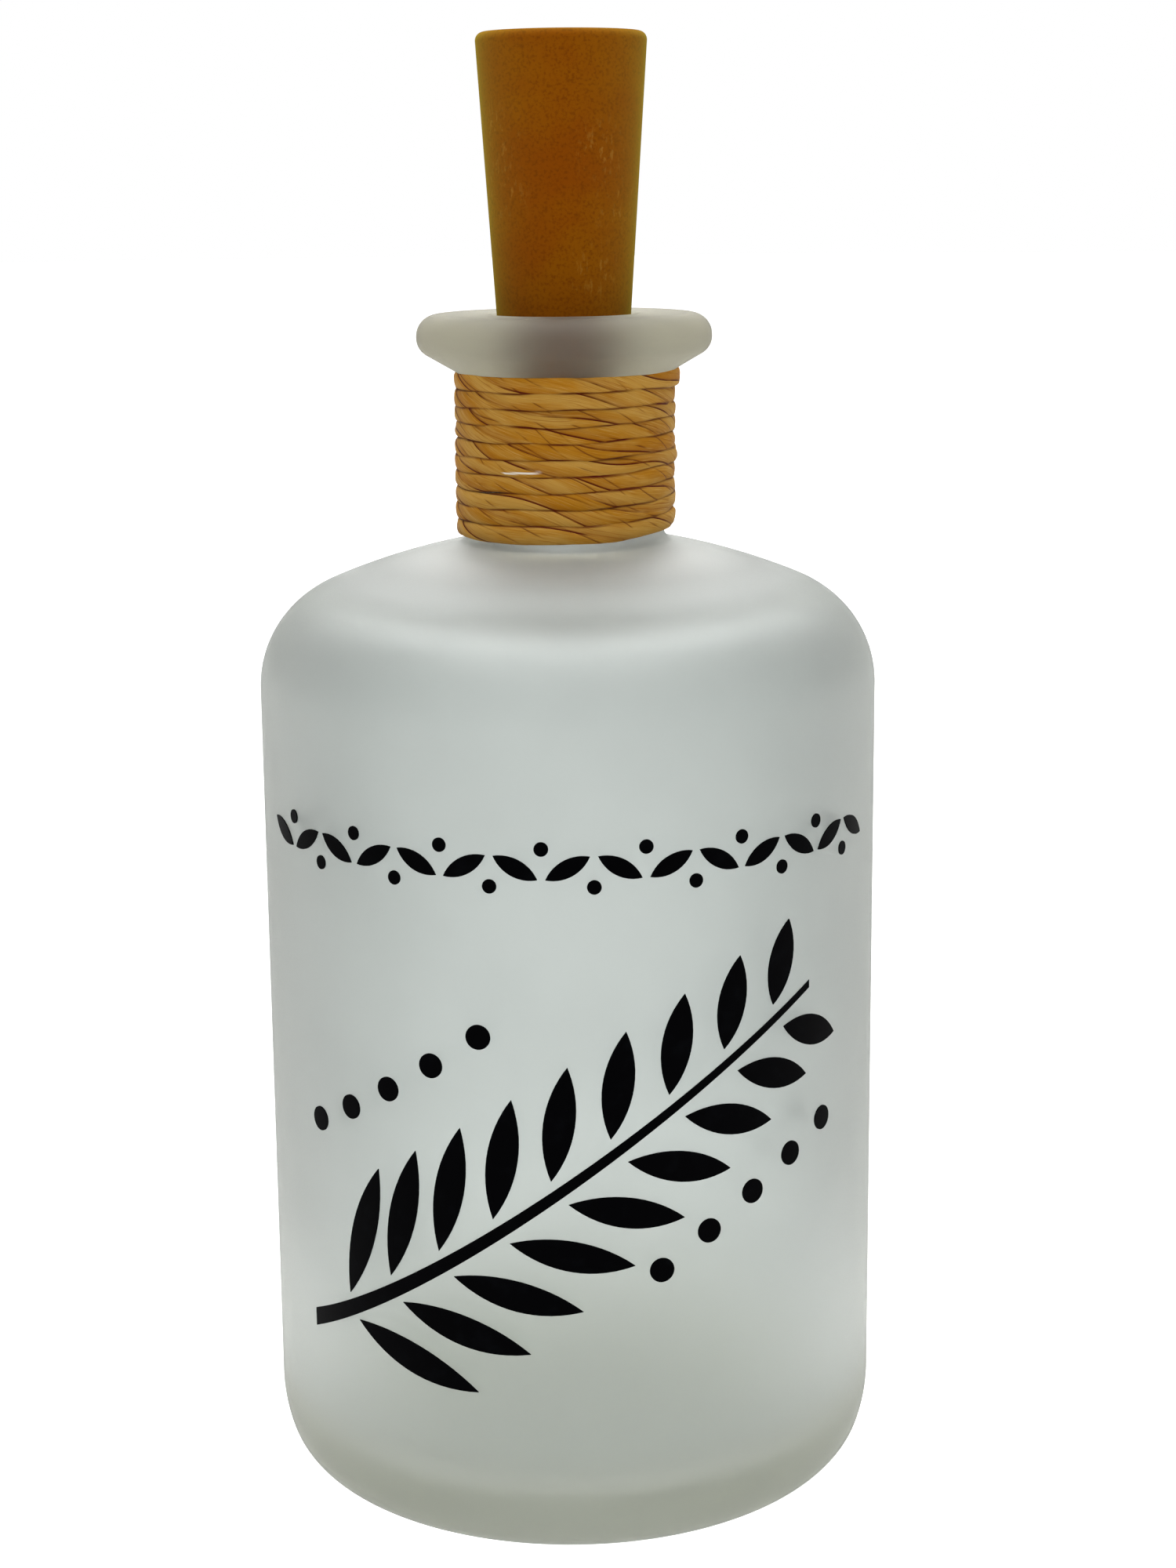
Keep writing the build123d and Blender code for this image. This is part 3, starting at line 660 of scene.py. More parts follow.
@dataclass(frozen=True)
class CorkPlastic:
    """Moulded cork-brown plastic: fine speckle, broad patches and pale scuffs."""

    name: str = "cork_plastic"
    brown: Colour = tone(114, 50, 0)
    olive: Colour = tone(119, 62, 0)
    speck: Colour = tone(88, 36, 0)
    scuff: Colour = tone(158, 112, 44)
    patches: float = 75.0
    speckle: float = 2600.0
    specks: Ramp = (0.45, 0.7, 0.0, 0.6)
    scuffs: float = 1500.0
    scuff_stretch: Colour = (1.0, 1.0, 0.45)
    flecks: Ramp = (0.54, 0.68, 0.0, 0.35)
    worn_spots: tuple[Colour, ...] = (
        (-8.0, -6.6, 180.0),
        (-7.6, -6.4, 173.0),
        (5.2, -8.6, 178.0),
        (6.8, -6.4, 171.0),
        (4.0, -8.2, 162.5),
    )
    worn: Ramp = (0.0, 5.5, 1.0, 0.0)
    gloss: Ramp = (0.25, 0.75, 0.42, 0.56)
    edge_light: float = 0.2
    edge_roughness: float = 0.6
    edge_tint: Colour = tone(218, 250, 110)
    relief: Span = (0.25, 0.04)

    def material(self) -> Material:
        """Patches of two browns, dark specks all over, and upright pale flecks near worn spots.

        Returns:
            The material.
        """
        graph = Graph(self.name)
        spot = graph.place()
        speck = graph.noise(spot, self.speckle, detail=2.0, rough=0.6)
        flecks = graph.noise(graph.place(self.scuff_stretch), self.scuffs, rough=0.65)
        flecks = graph.span(flecks, self.flecks)
        layers = [
            (graph.clouds(spot, self.patches), self.olive),
            (graph.span(speck, self.specks), self.speck),
        ]
        for centre in self.worn_spots:
            middle = tuple(length * MM for length in centre)
            away = graph.node("VectorMath", {0: spot, 1: middle}, operation="DISTANCE")
            worn = graph.zone(away.outputs["Value"], self.worn)
            layers.append((graph.times(worn, flecks), self.scuff))
        graph.surface({
            "Base Color": graph.paint(self.brown, *layers),
            "Roughness": graph.span(speck, self.gloss),
            "Specular IOR Level": 0.0,
            "Sheen Weight": self.edge_light,
            "Sheen Roughness": self.edge_roughness,
            "Sheen Tint": self.edge_tint,
        })
        graph.relief(speck, *self.relief)
        return graph.block


@dataclass(frozen=True)
class Clouded:
    """Two colours in clouds, with a grain in gloss and relief.

    A noise is its scale, its octaves and the share that each octave keeps of the last.
    """

    name: str
    colour: Colour
    second: Colour
    roughness: float = 0.5
    stretch: Colour = WHITE
    clouds: Noise = (220.0,)
    cloudy: Ramp = CLOUDS
    grain: Noise = (6500.0, 2.0)
    grainy: Ramp = GRAIN
    spread: Span = (-0.08, 0.08)
    relief: Span = (0.25, 0.03)
    inputs: Settings = (("Specular IOR Level", 0.4),)

    def material(self) -> Material:
        """Clouds of the second colour over the first, and the grain spread about the roughness.

        Returns:
            The material.
        """
        graph = Graph(self.name)
        cloud = graph.span(graph.noise(graph.place(), *self.clouds), self.cloudy)
        grain = graph.noise(graph.place(self.stretch), *self.grain)
        gloss = (self.roughness + end for end in self.spread)
        graph.surface({
            "Base Color": graph.paint(self.colour, (cloud, self.second)),
            "Roughness": graph.span(grain, (*self.grainy, *gloss)),
            **dict(self.inputs),
        })
        graph.relief(grain, *self.relief)
        return graph.block


@dataclass(frozen=True)
class MouldedPlastic(Clouded):
    """Plain moulded plastic with a spark-eroded grain and slight clouding."""


@dataclass(frozen=True)
class PlatedMetal(Clouded):
    """Rolled or plated metal with scratches along its drawing direction and a little tarnish."""

    roughness: float = 0.28
    stretch: Colour = (400.0, 9000.0, 9000.0)
    clouds: Noise = (500.0, 4.0)
    cloudy: Ramp = (0.45, 0.7, 0.0, 0.7)
    grain: Noise = (1.0, 3.0, 0.6)
    grainy: Ramp = FIBRES
    spread: Span = (-0.08, 0.12)
    relief: Span = (0.2, 0.01)
    inputs: Settings = (("Metallic", 1.0),)


@dataclass(frozen=True)
class ClearResin(Clouded):
    """Clear cast resin or plastic with faint clouds and moulding ripple."""

    roughness: float = 0.08
    clouds: Noise = (252.0,)
    grain: Noise = (420.0, 2.0)
    grainy: Ramp = FIBRES
    spread: Span = (-0.032, 0.048)
    relief: Span = (0.06, 0.08)
    inputs: Settings = (("IOR", 1.5), ("Transmission Weight", 0.95))


@dataclass(frozen=True)
class BlackFilm(Clouded):
    """Cut black film: near black, with faint rub marks and a fine stipple."""

    name: str = "black_film"
    colour: Colour = tone(0, 0, 1)
    second: Colour = tone(4, 5, 7)
    roughness: float = 0.38
    clouds: Noise = (320.0, 4.0)
    cloudy: Ramp = (0.5, 0.75, 0.0, 0.6)
    grain: Noise = (7000.0, 2.0)
    spread: Span = (-0.05, 0.1)
    relief: Span = (0.15, 0.02)
    inputs: Settings = (("Specular IOR Level", 0.015),)


@dataclass(frozen=True)
class BoardLacquer:
    """Green lacquer over glass cloth, with the weave just showing."""

    green: Colour = tone(18, 92, 48)
    dark: Colour = tone(8, 58, 30)
    weave: float = 1300.0
    weave_share: float = 0.35
    pools: float = 400.0
    gloss: Ramp = (0.0, 1.0, 0.2, 0.32)
    relief: Span = (0.1, 0.02)

    def material(self) -> Material:
        """Two crossed waves for the weave, under clouds of lacquer.

        Returns:
            The material.
        """
        graph = Graph("board_lacquer")
        spot = graph.place()
        waves = {"Vector": spot, "Scale": self.weave}
        warp, weft = (graph.node("TexWave", waves, bands_direction=axis) for axis in "XY")
        cloth = graph.times(warp.outputs["Fac"], weft.outputs["Fac"])
        pool = graph.clouds(spot, self.pools)
        woven = graph.times(cloth, self.weave_share)
        graph.surface({
            "Base Color": graph.paint(self.green, (pool, self.dark), (woven, self.dark)),
            "Roughness": graph.span(pool, self.gloss),
        })
        graph.relief(cloth, *self.relief)
        return graph.block


@dataclass
class Bottle:
    """Frosted bottle with a hollow base, a domed shoulder, a straight neck and a rolled lip."""

    body_radius: float = 41.0
    wall_top: float = 108.7
    glass_wall: float = 3.0
    base_thickness: float = 5.0
    punt_depth: float = 2.5
    bearing_width: float = 4.0
    heel_radius: float = 8.6
    flank_radius: float = 20.4
    flank_sweep: float = 17.4
    inner_heel_radius: float = 8.0
    shoulder_radius: float = 14.5
    shoulder_sweep: float = 67.0
    dome_radius: float = 90.0
    neck_radius: float = 12.9
    neck_foot_radius: float = 1.8
    neck_length: float = 19.8
    bore_radius: float = 9.0
    bore_foot_radius: float = 4.0
    lip_radius: float = 19.35
    lip_height: float = 8.2
    lip_underside: float = 30.0
    lip_edge_radius: float = 2.5
    lip_crown_radius: float = 2.8
    mouth_edge_radius: float = 1.0
    columns: int = 240
    crease: float = 50.0

    def shoulder(self, wall: float, offset: float, foot: float, end: float) -> Outline:
        """Shoulder arc, dome arc and neck foot, tangent to each other, up from the wall.

        Args:
            wall: Radius of the wall below.
            offset: Distance inside the outer face.
            foot: Radius of the neck foot.
            end: Radius of the neck above.

        Returns:
            The outline, which ends heading up the neck.
        """
        corner = self.shoulder_radius - offset
        dome = self.dome_radius - offset
        start = math.radians(90.0 + self.shoulder_sweep)
        spring = wall - corner * (1.0 - math.sin(start))
        reach = end - spring + dome * math.sin(start) + foot
        heading = 180.0 - math.degrees(math.asin(reach / (dome + foot)))
        line = Outline((wall, self.wall_top), 90.0)
        line.turn(corner, self.shoulder_sweep, 40)
        line.turn(dome, heading - 90.0 - self.shoulder_sweep, 20)
        return line.turn(foot, 90.0 - heading, 16)

    def outline(self) -> tuple[Array, Array]:
        """Section of the glass: up the outside from the hollow base to the mouth, and down inside.

        Returns:
            Radius and height of each point, and whether it lies on the inner face.
        """
        turn = math.radians(90.0 - self.flank_sweep)
        heel = self.heel_radius * math.sin(turn) + self.flank_radius * (1.0 - math.sin(turn))
        bearing = self.body_radius - heel
        rim = bearing - self.bearing_width
        punt = (rim**2 + self.punt_depth**2) / (2.0 * self.punt_depth)
        wall = self.body_radius - self.glass_wall
        floor = self.punt_depth + self.base_thickness
        below = Outline((0.0, self.punt_depth))
        below.turn(punt, -math.degrees(math.asin(rim / punt)), 24).run((bearing, 0.0), 5)
        below.turn(self.heel_radius, 90.0 - self.flank_sweep, 40)
        below.turn(self.flank_radius, self.flank_sweep, 12)
        below.run((self.body_radius, self.wall_top), 10)
        above = self.shoulder(self.body_radius, 0.0, self.neck_foot_radius, self.neck_radius)
        inner = self.shoulder(wall, self.glass_wall, self.bore_foot_radius, self.bore_radius)
        lip_z = float(above.point[1]) + self.neck_length
        mouth = lip_z + self.lip_height
        slope = math.tan(math.radians(self.lip_underside))
        edge = (self.lip_radius, lip_z + (self.lip_radius - self.neck_radius) * slope)
        above.run((self.neck_radius, lip_z), 6)
        above.bend(edge, (self.lip_radius, mouth), self.lip_edge_radius, 14)
        above.bend((self.lip_radius, mouth), (self.bore_radius, mouth), self.lip_crown_radius, 16)
        above.bend((self.bore_radius, mouth), (self.bore_radius, 0.0), self.mouth_edge_radius, 12)
        bore = Outline(tuple(above.point)).run(tuple(inner.point), 6)
        within = Outline((wall, self.wall_top)).run((wall, floor + self.inner_heel_radius), 8)
        within.turn(self.inner_heel_radius, -90.0, 30).run((0.0, floor), 6)
        outside = np.concatenate([*below.parts, *above.parts])
        inside = np.concatenate([*bore.parts, inner.points()[:0:-1], within.points()])
        marks = np.concatenate([np.zeros(len(outside)), np.ones(len(inside))])
        return np.concatenate([outside, inside]), marks

    def build(self, glass: Material, film: Material) -> None:
        """Make the glass and dress the film on its front.

        Args:
            glass: Finish of the glass.
            film: Finish of the film.
        """
        outline, marks = self.outline()
        bottle = revolve("frosted_bottle", outline, self.columns, crease=self.crease)
        rows = np.repeat(marks[1:-1], self.columns)
        put_attribute(bottle, "inside", np.concatenate([rows, marks[[0, -1]]]))
        dress(bottle, glass)
        place(bottle, Body.BOTTLE, "frosted_glass", "glass_bottle")
        dress(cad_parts["vinyl_decal"], film)


@dataclass
class NeckWinding:
    """One strand of twisted paper raffia, wound up the neck in nine and a half turns."""

    neck_radius: float = 12.9
    foot_z: float = 129.279
    foot_radius: float = 1.8
    lip_z: float = 149.079
    lip_underside: float = 30.0
    radius: float = 13.74
    bottom_z: float = 129.86
    rise: float = 19.3
    turns: float = 9.5
    start_angle: float = 180.0
    low_left_drop: float = 0.09
    low_front_drop: float = 0.45
    high_left_rise: float = 0.31
    high_rise: float = 0.3
    free: Span = (1.0, 56.0)
    half_depth: float = 0.78
    half_width: float = 1.28
    boxiness: float = 2.5
    clearance: float = 0.04
    tail: float = 4.0
    taper: float = 4.0
    end_share: float = 0.5
    flare: float = 0.6
    flare_length: float = 12.0
    lay_length: float = 22.0
    lay_folds: float = 2.0
    pleat_depth: float = 0.13
    cross_length: float = 13.2
    cross_folds: float = 3.0
    cross_depth: float = 0.05
    side_fold: float = 0.3
    lay_wander: Wander = Wander(0.16, 40.0, 11)
    fold_wander: Wander = Wander(0.5, 26.0, 12)
    depth_wander: Wander = Wander(0.07, 19.0, 13)
    width_wander: Wander = Wander(0.06, 24.0, 14)
    level_wander: Wander = Wander(0.2, 21.0, 15)
    cross_wander: Wander = Wander(0.12, 22.0, 16)
    crevice_wander: Wander = Wander(0.5, 9.0, 17)
    lift_wander: Wander = Wander(0.08, 33.0, 18)
    # Painted shade in the crevices between turns: its fade, depth and limits.
    painted_crevice_shade: Span = (0.02, 0.2)
    crevice_shade: float = 0.62
    crevice_limits: Span = (0.1, 1.0)
    thread_left: float = -8.0
    thread_right: float = -3.0
    thread_z: float = 137.7
    thread_rise: float = 0.25
    thread_edge: Span = (0.039, 0.13)
    thread_start: Span = (-0.02, 0.05)
    thread_end: Span = (0.85, 1.05)
    rows: int = 2500
    # The reach is in radians.
    outer_reach: float = 1.75
    outer_columns: int = 29
    inner_columns: int = 8

    def around(self) -> Array:
        """Angles round the section in radians, close together outside.

        Returns:
            The angles, from the neck's side and back to it.
        """
        gap = (TAU / 2 - self.outer_reach) / (self.inner_columns / 2)
        outer = np.linspace(-self.outer_reach, self.outer_reach, self.outer_columns)
        inner = self.outer_reach + gap * (np.arange(self.inner_columns // 2) + 0.5)
        return np.concatenate([-inner[::-1], outer, inner])

    def girth(self, outward: Array, downward: Array) -> Array:
        """Share of the way round the plain section: the summed steps between its points over all.

        Args:
            outward: Outward share of each point.
            downward: Downward share of each point.

        Returns:
            The share at each point, from -0.5 to 0.5 and 0 outside.
        """
        points = np.stack([self.half_depth * outward, self.half_width * downward], axis=1)
        steps = np.linalg.norm(points - np.roll(points, 1, axis=0), axis=1)
        way = np.cumsum(steps)
        return (way - steps[0] / 2) / way[-1] - 0.5

    def levels(self, line: Array) -> Array:
        """Level of the strand's middle: an even rise, dipping in front below, high at left above.

        Args:
            line: Distances along the strand.

        Returns:
            The level at each distance, with a small wander away from the ends.
        """
        length = self.turns * TAU * self.radius
        turn = np.clip(line / (TAU * self.radius), 0.0, self.turns)
        share = turn / self.turns
        left, front = np.cos(TAU * turn), np.sin(TAU * turn)
        low = -self.low_left_drop * left - self.low_front_drop * front
        high = self.high_left_rise * left + self.high_rise
        even = self.bottom_z + self.rise * share + low * (1.0 - share) + high * share
        free = smooth(np.minimum(line, length - line), *self.free)
        return even + self.level_wander.at(line) * free

    def painted_crevice_shades(self, line: Array, height: Array) -> Array:
        """Painted shade beside the next turns: most at half the way to their middles, none well
        inside.

        Args:
            line: Distances along the strand.
            height: Levels of the strand's points, one row for each distance.

        Returns:
            The painted shade of each point, which wanders along the strand.
        """
        girth = TAU * self.radius
        length = self.turns * girth
        middle = self.levels(line)
        above = np.where(line + girth < length, (middle + self.levels(line + girth)) / 2, np.inf)
        below = np.where(line - girth > 0.0, (middle + self.levels(line - girth)) / 2, -np.inf)
        inset = np.minimum(above[:, None] - height, height - below[:, None])
        shade = np.clip(self.crevice_shade + self.crevice_wander.at(line), *self.crevice_limits)
        return (1.0 - smooth(inset, *self.painted_crevice_shade)) * shade[:, None]

    def thread(self, grid: Array) -> Array:
        """Pale thread across the front: one on a line that curves upward to the right, none off it.

        Args:
            grid: Points of the strand.

        Returns:
            How much of the thread covers each point.
        """
        share = (grid[..., 0] - self.thread_left) / (self.thread_right - self.thread_left)
        away = np.abs(grid[..., 2] - self.thread_z - self.thread_rise * share**2)
        near = 1.0 - smooth(away, *self.thread_edge)
        ends = smooth(share, *self.thread_start) * (1.0 - smooth(share, *self.thread_end))
        return near * ends * (grid[..., 1] < 0.0)

    def build(self, raffia: Material) -> None:
        """Make the strand: a boxed oval section, pleated round its middle line, along a helix.

        The section's point at angle a lies depth cos(a) outward and width sin(a) downward, with
        both raised to a boxy power and scaled by the pleats. The pleats turn once round the strand
        in each lay length, so their folds run aslant. The strand's width, depth and level wander.
        It is held off the neck and its foot, and kept under the lip.

        Args:
            raffia: Finish of the strand.
        """
        length = self.turns * TAU * self.radius
        along = np.linspace(-self.tail, length + self.tail, self.rows)[:, None]
        line = along[:, 0]
        around = self.around()
        power = 2.0 / self.boxiness
        outward = np.sign(np.cos(around)) * np.abs(np.cos(around)) ** power
        downward = np.sign(np.sin(around)) * np.abs(np.sin(around)) ** power
        girth = self.girth(outward, downward)
        lay = girth - (along / self.lay_length + self.lay_wander.at(along))
        cross = girth - (along / self.cross_length + self.cross_wander.at(along))
        lay, cross = self.lay_folds * lay, self.cross_folds * cross
        lively = self.pleat_depth * (1.0 + self.fold_wander.at(along))
        folds = lively * pleat(lay) + self.cross_depth * pleat(cross)
        from_end = np.minimum(along + self.tail, length + self.tail - along)
        share = self.end_share + (1.0 - self.end_share) * smooth(from_end, 0.0, self.taper)
        depth = self.half_depth * (1.0 + self.depth_wander.at(along))
        width = self.half_width * (1.0 + self.width_wander.at(along))
        fall = width * share * downward * (1.0 + self.side_fold * folds)
        height = self.levels(line)[:, None] - fall
        radius = self.radius + depth * share * outward * (1.0 + folds)
        radius = radius + self.flare * smooth(along, length - self.flare_length, length)
        radius = radius + self.lift_wander.at(along)
        dip = np.clip(self.foot_z - height, 0.0, self.foot_radius)
        foot = self.neck_radius + self.foot_radius - np.sqrt(self.foot_radius**2 - dip**2)
        radius = np.maximum(radius, foot + self.clearance)
        slope = math.tan(math.radians(self.lip_underside))
        ceiling = self.lip_z + (radius - self.neck_radius) * slope - self.clearance
        height = np.minimum(height, ceiling)
        grid = wheel(radius, math.radians(self.start_angle) + along / self.radius, height)
        strand = skin("raffia_winding", grid, grid[[0, -1]].mean(axis=1), SEAMLESS)
        stored = {
            "along": along * MM,
            "lay": lay,
            "cross": cross,
            # Painted shade in the crevices between turns.
            "painted_crevice_shade": self.painted_crevice_shades(line, height),
            "thread": self.thread(grid),
        }
        for name, values in stored.items():
            full = np.broadcast_to(values, lay.shape)
            put_attribute(strand, name, np.concatenate([full.ravel(), full[[0, -1]].mean(axis=1)]))
        dress(strand, raffia)
        place(strand, Body.BOTTLE, "raffia", "neck_twine")


@dataclass
class Stopper:
    """Tapered cork-brown sleeve with a recessed rim above and a clear window below."""

    bottom_z: float = 137.279
    seat_z: float = 157.279
    top_z: float = 192.879
    seat_radius: float = 8.8
    top_radius: float = 11.1
    bottom_edge: float = 1.0
    top_edge: float = 1.1
    rim_edge: float = 0.3
    cap_bore: float = 9.3
    core_bore: float = 8.3
    ledge_z: float = 189.679
    wall: float = 1.4
    floor_z: float = 139.279
    window_bore: float = 4.1
    window_plug: float = 4.05
    window_flange: float = 5.5
    window_top_z: float = 140.479
    window_dome: float = 1.6
    columns: int = 192
    window_columns: int = 96

    def radius_at(self, z: float) -> float:
        """Outer radius of the taper at a level."""
        share = (z - self.seat_z) / (self.top_z - self.seat_z)
        return self.seat_radius + (self.top_radius - self.seat_radius) * share

    def sleeve_outline(self) -> Array:
        """Section of the sleeve: out along its foot, up the taper, over the rim and down inside.

        Returns:
            Radius and height of each point.
        """
        foot = self.radius_at(self.bottom_z)
        low = self.radius_at(self.floor_z) - self.wall
        slope = self.radius_at(self.seat_z + 1.0) - self.seat_radius
        meet_z = self.seat_z + (self.core_bore + self.wall - self.seat_radius) / slope
        line = Outline((self.window_bore, self.bottom_z))
        line.bend((foot, self.bottom_z), (self.top_radius, self.top_z), self.bottom_edge, 10)
        line.bend((self.top_radius, self.top_z), (self.cap_bore, self.top_z), self.top_edge, 24)
        line.bend((self.cap_bore, self.top_z), (self.cap_bore, self.ledge_z), self.rim_edge, 6)
        line.run((self.cap_bore, self.ledge_z), 6).run((self.core_bore, self.ledge_z), 4)
        line.run((self.core_bore, meet_z), 16).run((low, self.floor_z), 24)
        line.run((self.window_bore, self.floor_z), 6).run((self.window_bore, self.bottom_z), 6)
        return line.points()[:-1]

    def window_outline(self) -> Array:
        """Section of the window: a low dome, a plug through the floor and a flange on it.

        Returns:
            Radius and height of each point.
        """
        dome = (self.window_plug**2 + self.window_dome**2) / (2.0 * self.window_dome)
        line = Outline((0.0, self.bottom_z - self.window_dome))
        line.turn(dome, math.degrees(math.asin(self.window_plug / dome)), 20)
        line.run((self.window_plug, self.floor_z), 8).run((self.window_flange, self.floor_z), 4)
        line.run((self.window_flange, self.window_top_z), 4).run((0.0, self.window_top_z), 10)
        return line.points()

    def build(self, plastic: Material, clear: Material) -> None:
        """Make the sleeve and its window.

        Args:
            plastic: Finish of the sleeve.
            clear: Finish of the window.
        """
        sleeve = revolve("cork_stopper", self.sleeve_outline(), self.columns, ring=True)
        dress(sleeve, plastic)
        place(sleeve, Body.STOPPER, "cork_plastic", "cork_sleeve")
        window = revolve("lamp_window", self.window_outline(), self.window_columns)
        dress(window, clear)
        place(window, Body.STOPPER, "clear_plastic", "lens")


@dataclass
class BatteryCore:
    """Cap, carrier, cells, contacts, switch, board and lamp that lift out of the sleeve."""

    cell_bottom_z: float = 165.479
    cell_height: float = 5.4
    cell_count: int = 3
    cell_radius: float = 5.8
    cell_cap_radius: float = 4.6
    cell_cap_height: float = 0.45
    cell_cap_edge: float = 0.15
    cell_edge: float = 0.4
    cell_columns: int = 96
    gasket_width: float = 0.35
    gasket_depth: float = 0.12
    lamp_radius: float = 2.5
    lamp_tip_z: float = 141.279
    lamp_top_z: float = 149.879
    lamp_flange_radius: float = 2.9
    lamp_flange_height: float = 1.0
    lamp_flat: float = 0.3
    lamp_columns: int = 72

    def cell_outline(self, bottom: float) -> Array:
        """Section of a cell: the small cap below, a gasket groove and the rolled can above.

        Args:
            bottom: Level of the cell's lower face.

        Returns:
            Radius and height of each point.
        """
        cap = self.cell_cap_radius
        seat = bottom + self.cell_cap_height
        top = bottom + self.cell_height
        groove = cap + self.gasket_width
        line = Outline((0.0, bottom)).bend((cap, bottom), (cap, seat), self.cell_cap_edge, 8)
        line.run((cap, seat + self.gasket_depth), 4)
        line.run((groove, seat + self.gasket_depth), 3).run((groove, seat), 3)
        line.bend((self.cell_radius, seat), (self.cell_radius, top), self.cell_edge, 8)
        line.bend((self.cell_radius, top), (0.0, top), self.cell_edge, 8)
        return line.run((0.0, top), 12).points()

    def lamp_outline(self) -> Array:
        """Section of the lamp: a round tip, a straight barrel and a flange under the board.

        Returns:
            Radius and height of each point.
        """
        flange = self.lamp_top_z - self.lamp_flange_height
        line = Outline((0.0, self.lamp_tip_z)).turn(self.lamp_radius, 90.0, 20)
        line.run((self.lamp_radius, flange), 10).run((self.lamp_flange_radius, flange), 3)
        line.run((self.lamp_flange_radius, self.lamp_top_z), 4).run((0.0, self.lamp_top_z), 6)
        return line.points()

    def build_cells(self, steel: Material) -> None:
        """Make the stack of cells.

        Args:
            steel: Finish of the cells.
        """
        for i in range(self.cell_count):
            outline = self.cell_outline(self.cell_bottom_z + i * self.cell_height)
            cell = revolve(f"cell_{i + 1}", outline, self.cell_columns)
            dress(cell, steel)
            place(cell, Body.CORE, "cell_steel", f"button_cell_{i + 1}")

    def build_lamp(self, resin: Material) -> None:
        """Make the lamp, with the flat that marks one side of its flange.

        Args:
            resin: Finish of the lamp.
        """
        lamp = revolve("lamp_bulb", self.lamp_outline(), self.lamp_columns)
        points = np.empty(len(lamp.data.vertices) * 3)
        lamp.data.vertices.foreach_get("co", points)
        grid = points.reshape(-1, 3)
        grid[:, 0] = np.minimum(grid[:, 0], (self.lamp_flange_radius - self.lamp_flat) * MM)
        lamp.data.vertices.foreach_set("co", grid.ravel())
        lamp.data.update()
        dress(lamp, resin)
        place(lamp, Body.CORE, "lamp_resin", "led")

    def dress_solids(self) -> None:
        """Give each solid of the core its finish."""
        metal, plastic = PlatedMetal, MouldedPlastic
        light, dark = tone(226, 222, 208), tone(212, 207, 190)
        faint, upright = (0.54, 0.68, 0.0, 0.3), (9000.0, 9000.0, 400.0)
        brass = metal("brass_strip", tone(206, 164, 84), tone(150, 108, 52), 0.3, upright)
        cap = CorkPlastic("cap_plastic", tone(104, 54, 6), tone(112, 64, 8), flecks=faint)
        contact = metal("contact_plate", tone(196, 196, 192), tone(150, 148, 140))
        tinned = metal("tinned_pin", tone(200, 200, 198), tone(160, 160, 156), 0.35)
        finishes = (
            (cap, "top_cap"),
            (metal("screw_steel", tone(118, 118, 120), tone(84, 82, 80), 0.4), "cap_screws"),
            (plastic("carrier_plastic", light, dark), "battery_carrier"),
            (metal("spring_wire", tone(190, 190, 192), tone(140, 138, 132), 0.25), "cell_spring"),
            (contact, "spring_plate", "positive_contact"),
            (brass, "positive_strip", "negative_strip"),
            (plastic("switch_case", tone(34, 34, 37), tone(26, 26, 29), 0.55), "switch_housing"),
            (tinned, "switch_terminals", "led_leads"),
            (plastic("knob_plastic", tone(22, 22, 24), tone(30, 30, 33), 0.45), "switch_slider"),
            (BoardLacquer(), "circuit_board"),
            (plastic("resistor_body", tone(28, 28, 32), tone(38, 38, 42), 0.35), "resistor"),
        )
        for finish, *nodes in finishes:
            material = finish.material()
            for node in nodes:
                dress(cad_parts[node], material)

    def build(self) -> None:
        """Make the cells and the lamp, and dress the rest."""
        steel = PlatedMetal("cell_steel", tone(204, 204, 200), tone(168, 166, 158), 0.24)
        resin = ClearResin(
            "lamp_resin",
            tone(248, 242, 222),
            tone(240, 230, 200),
            roughness=0.06,
            spread=(-0.024, 0.036),
            inputs=(("IOR", 1.5), ("Transmission Weight", 0.85)),
        )
        self.build_cells(steel.material())
        self.build_lamp(resin.material())
        self.dress_solids()


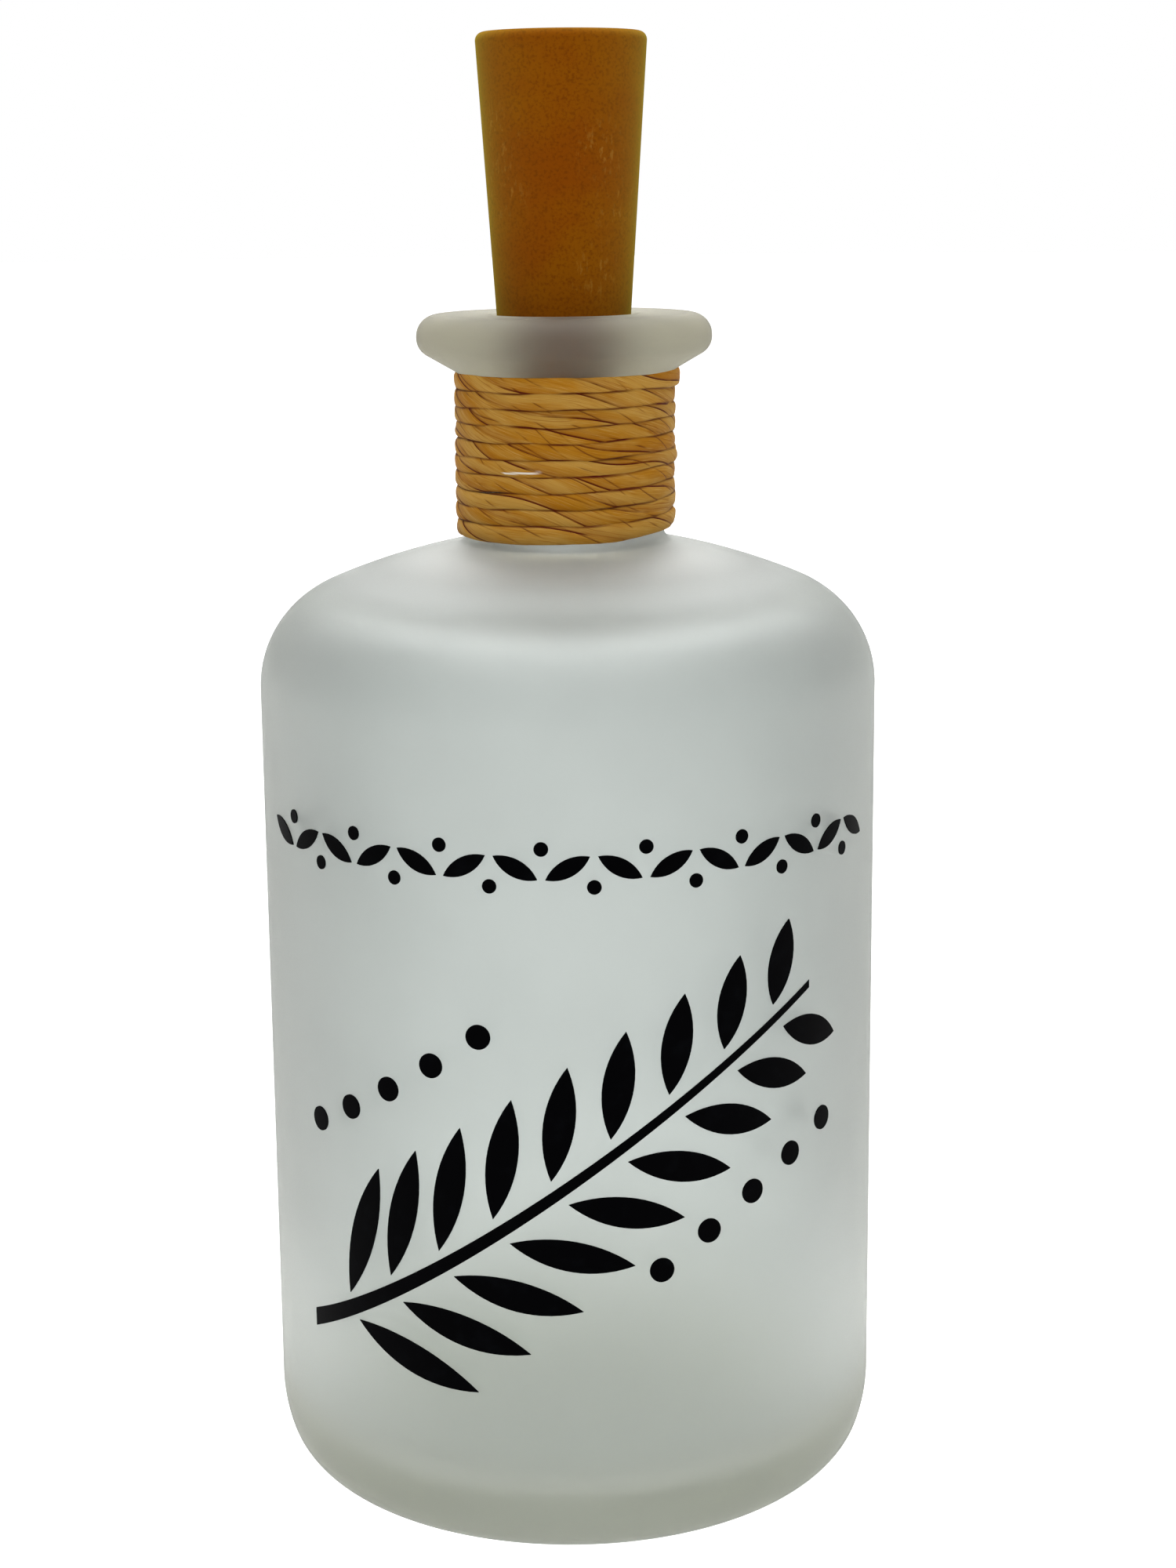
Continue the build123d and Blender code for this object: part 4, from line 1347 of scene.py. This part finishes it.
@dataclass
class Studio:
    """Pale floor, soft light from above and around, and the camera. Lengths here are metres."""

    eye: Colour = (0.00257, -0.37326, 0.17485)
    pitch: float = 12.175
    roll: float = -0.54
    lens: float = 64.777
    sensor: float = 36.0
    near: float = 0.01
    floor_radius: float = 6.0
    floor_middle: float = 0.02
    floor_drop: float = 0.00002
    floor_rings: int = 24
    floor_columns: int = 96
    floor_clouds: float = 40.0
    floor_tone: Colour = tone(160, 160, 159)
    floor_shade: Colour = tone(156, 156, 155)
    floor_roughness: float = 0.7
    floor_specular: float = 0.1
    spot_glow: Ramp = (0.03, 0.1, 1.05, 0.95)
    side_dim: Ramp = (0.05, 0.2, 0.0, -0.55)
    back_dim: Ramp = (-0.1, 0.1)
    near_dim: Ramp = (0.4, 0.6, 1.0, 0.0)
    horizon_light: float = 0.6
    zenith_light: float = 0.9
    side_shade: float = 0.6
    box_light: float = 4.3
    box_size: Span = (0.8, 1.5)
    box_place: Colour = (0.0, 0.35, 0.85)

    def build_camera(self) -> None:
        """Place the camera: it looks level along +Y, then pitches down and rolls a little."""
        camera = bpy.data.objects.new("camera", bpy.data.cameras.new("camera"))
        bpy.context.scene.collection.objects.link(camera)
        camera.data.lens = self.lens
        camera.data.sensor_width = self.sensor
        camera.data.sensor_fit = "AUTO"
        camera.data.clip_start = self.near
        pitch = Matrix.Rotation(math.radians(90.0 - self.pitch), 4, "X")
        roll = Matrix.Rotation(math.radians(self.roll), 4, "Z")
        camera.matrix_world = Matrix.Translation(Vector(self.eye)) @ pitch @ roll
        bpy.context.scene.camera = camera

    def build_floor(self) -> None:
        """Lay the floor: one wide disc just under the base, of rings that widen outward."""
        rings = np.geomspace(self.floor_middle, self.floor_radius, self.floor_rings)
        angles = np.linspace(0.0, TAU, self.floor_columns, endpoint=False)
        grid = wheel(rings[:, None], angles, -self.floor_drop).reshape(-1, 3)
        points = np.concatenate([grid, [[0.0, 0.0, -self.floor_drop]]]) / MM
        outward = band_faces(len(rings), len(angles), False)[:, ::-1]
        middle = fan_faces(len(grid), 0, len(angles), True)[:, ::-1]
        floor = make_piece("floor", points, [outward, middle], SEAMLESS)
        dress(floor, self.floor_material())

    def floor_material(self) -> Material:
        """Pale paper that glows, most around the base, and less to both sides behind it.

        Returns:
            The material.
        """
        graph = Graph("floor_paper")
        spot = graph.place()
        clouds = graph.clouds(spot, self.floor_clouds)
        away = graph.node("VectorMath", {0: spot}, operation="LENGTH").outputs["Value"]
        split = graph.node("SeparateXYZ", {0: spot}).outputs
        dim = graph.span(graph.calc("ABSOLUTE", split["X"]), self.side_dim)
        dim = graph.times(dim, graph.span(split["Y"], self.back_dim))
        dim = graph.times(dim, graph.span(away, self.near_dim))
        graph.surface({
            "Base Color": graph.paint(self.floor_tone, (clouds, self.floor_shade)),
            "Roughness": self.floor_roughness,
            "Specular IOR Level": self.floor_specular,
            "Emission Color": WHITE,
            "Emission Strength": graph.plus(graph.span(away, self.spot_glow), dim),
        })
        return graph.block

    def build_sky(self) -> None:
        """Pale sky: it brightens upward and dims towards both sides, and is seen as plain white."""
        graph = Graph("studio", world=True)
        bpy.context.scene.world = graph.block
        way = graph.node("TexCoord", {}).outputs["Generated"]
        split = graph.node("SeparateXYZ", {0: way}).outputs
        lights = {"To Min": self.horizon_light, "To Max": self.zenith_light}
        shades = {"To Min": 1.0, "To Max": 1.0 - self.side_shade}
        rise = graph.node("MapRange", {"Value": split["Z"], **lights}).outputs["Result"]
        square = graph.times(split["X"], split["X"])
        side = graph.node("MapRange", {"Value": square, **shades}).outputs["Result"]
        seen = graph.node("LightPath", {}).outputs["Is Camera Ray"]
        strength = graph.node("Mix", {0: seen, 2: graph.times(rise, side), 3: 1.0}).outputs[0]
        graph.surface({"Color": WHITE, "Strength": strength})
        bpy.context.scene.view_settings.view_transform = "Standard"

    def build_softbox(self) -> None:
        """Wide soft lamp overhead, a little behind. Its power is radiance times pi times area."""
        lamp = bpy.data.lights.new("softbox", "AREA")
        lamp.shape = "RECTANGLE"
        lamp.size, lamp.size_y = self.box_size
        lamp.energy = self.box_light * math.pi * lamp.size * lamp.size_y
        softbox = bpy.data.objects.new("softbox", lamp)
        softbox.location = self.box_place
        bpy.context.scene.collection.objects.link(softbox)

    def build(self) -> None:
        """Set up the camera, the floor and the light."""
        self.build_camera()
        self.build_floor()
        self.build_sky()
        self.build_softbox()


def main() -> None:
    """Build the studio and the sub-assemblies in order."""
    logging.basicConfig(level=logging.INFO, format="%(name)s: %(message)s")
    Studio().build()
    Bottle().build(FrostedGlass().material(), BlackFilm().material())
    NeckWinding().build(Raffia().material())
    clear = ClearResin("clear_plastic", tone(244, 246, 246), tone(236, 240, 240))
    Stopper().build(CorkPlastic().material(), clear.material())
    BatteryCore().build()


if __name__ == "__main__":
    main()
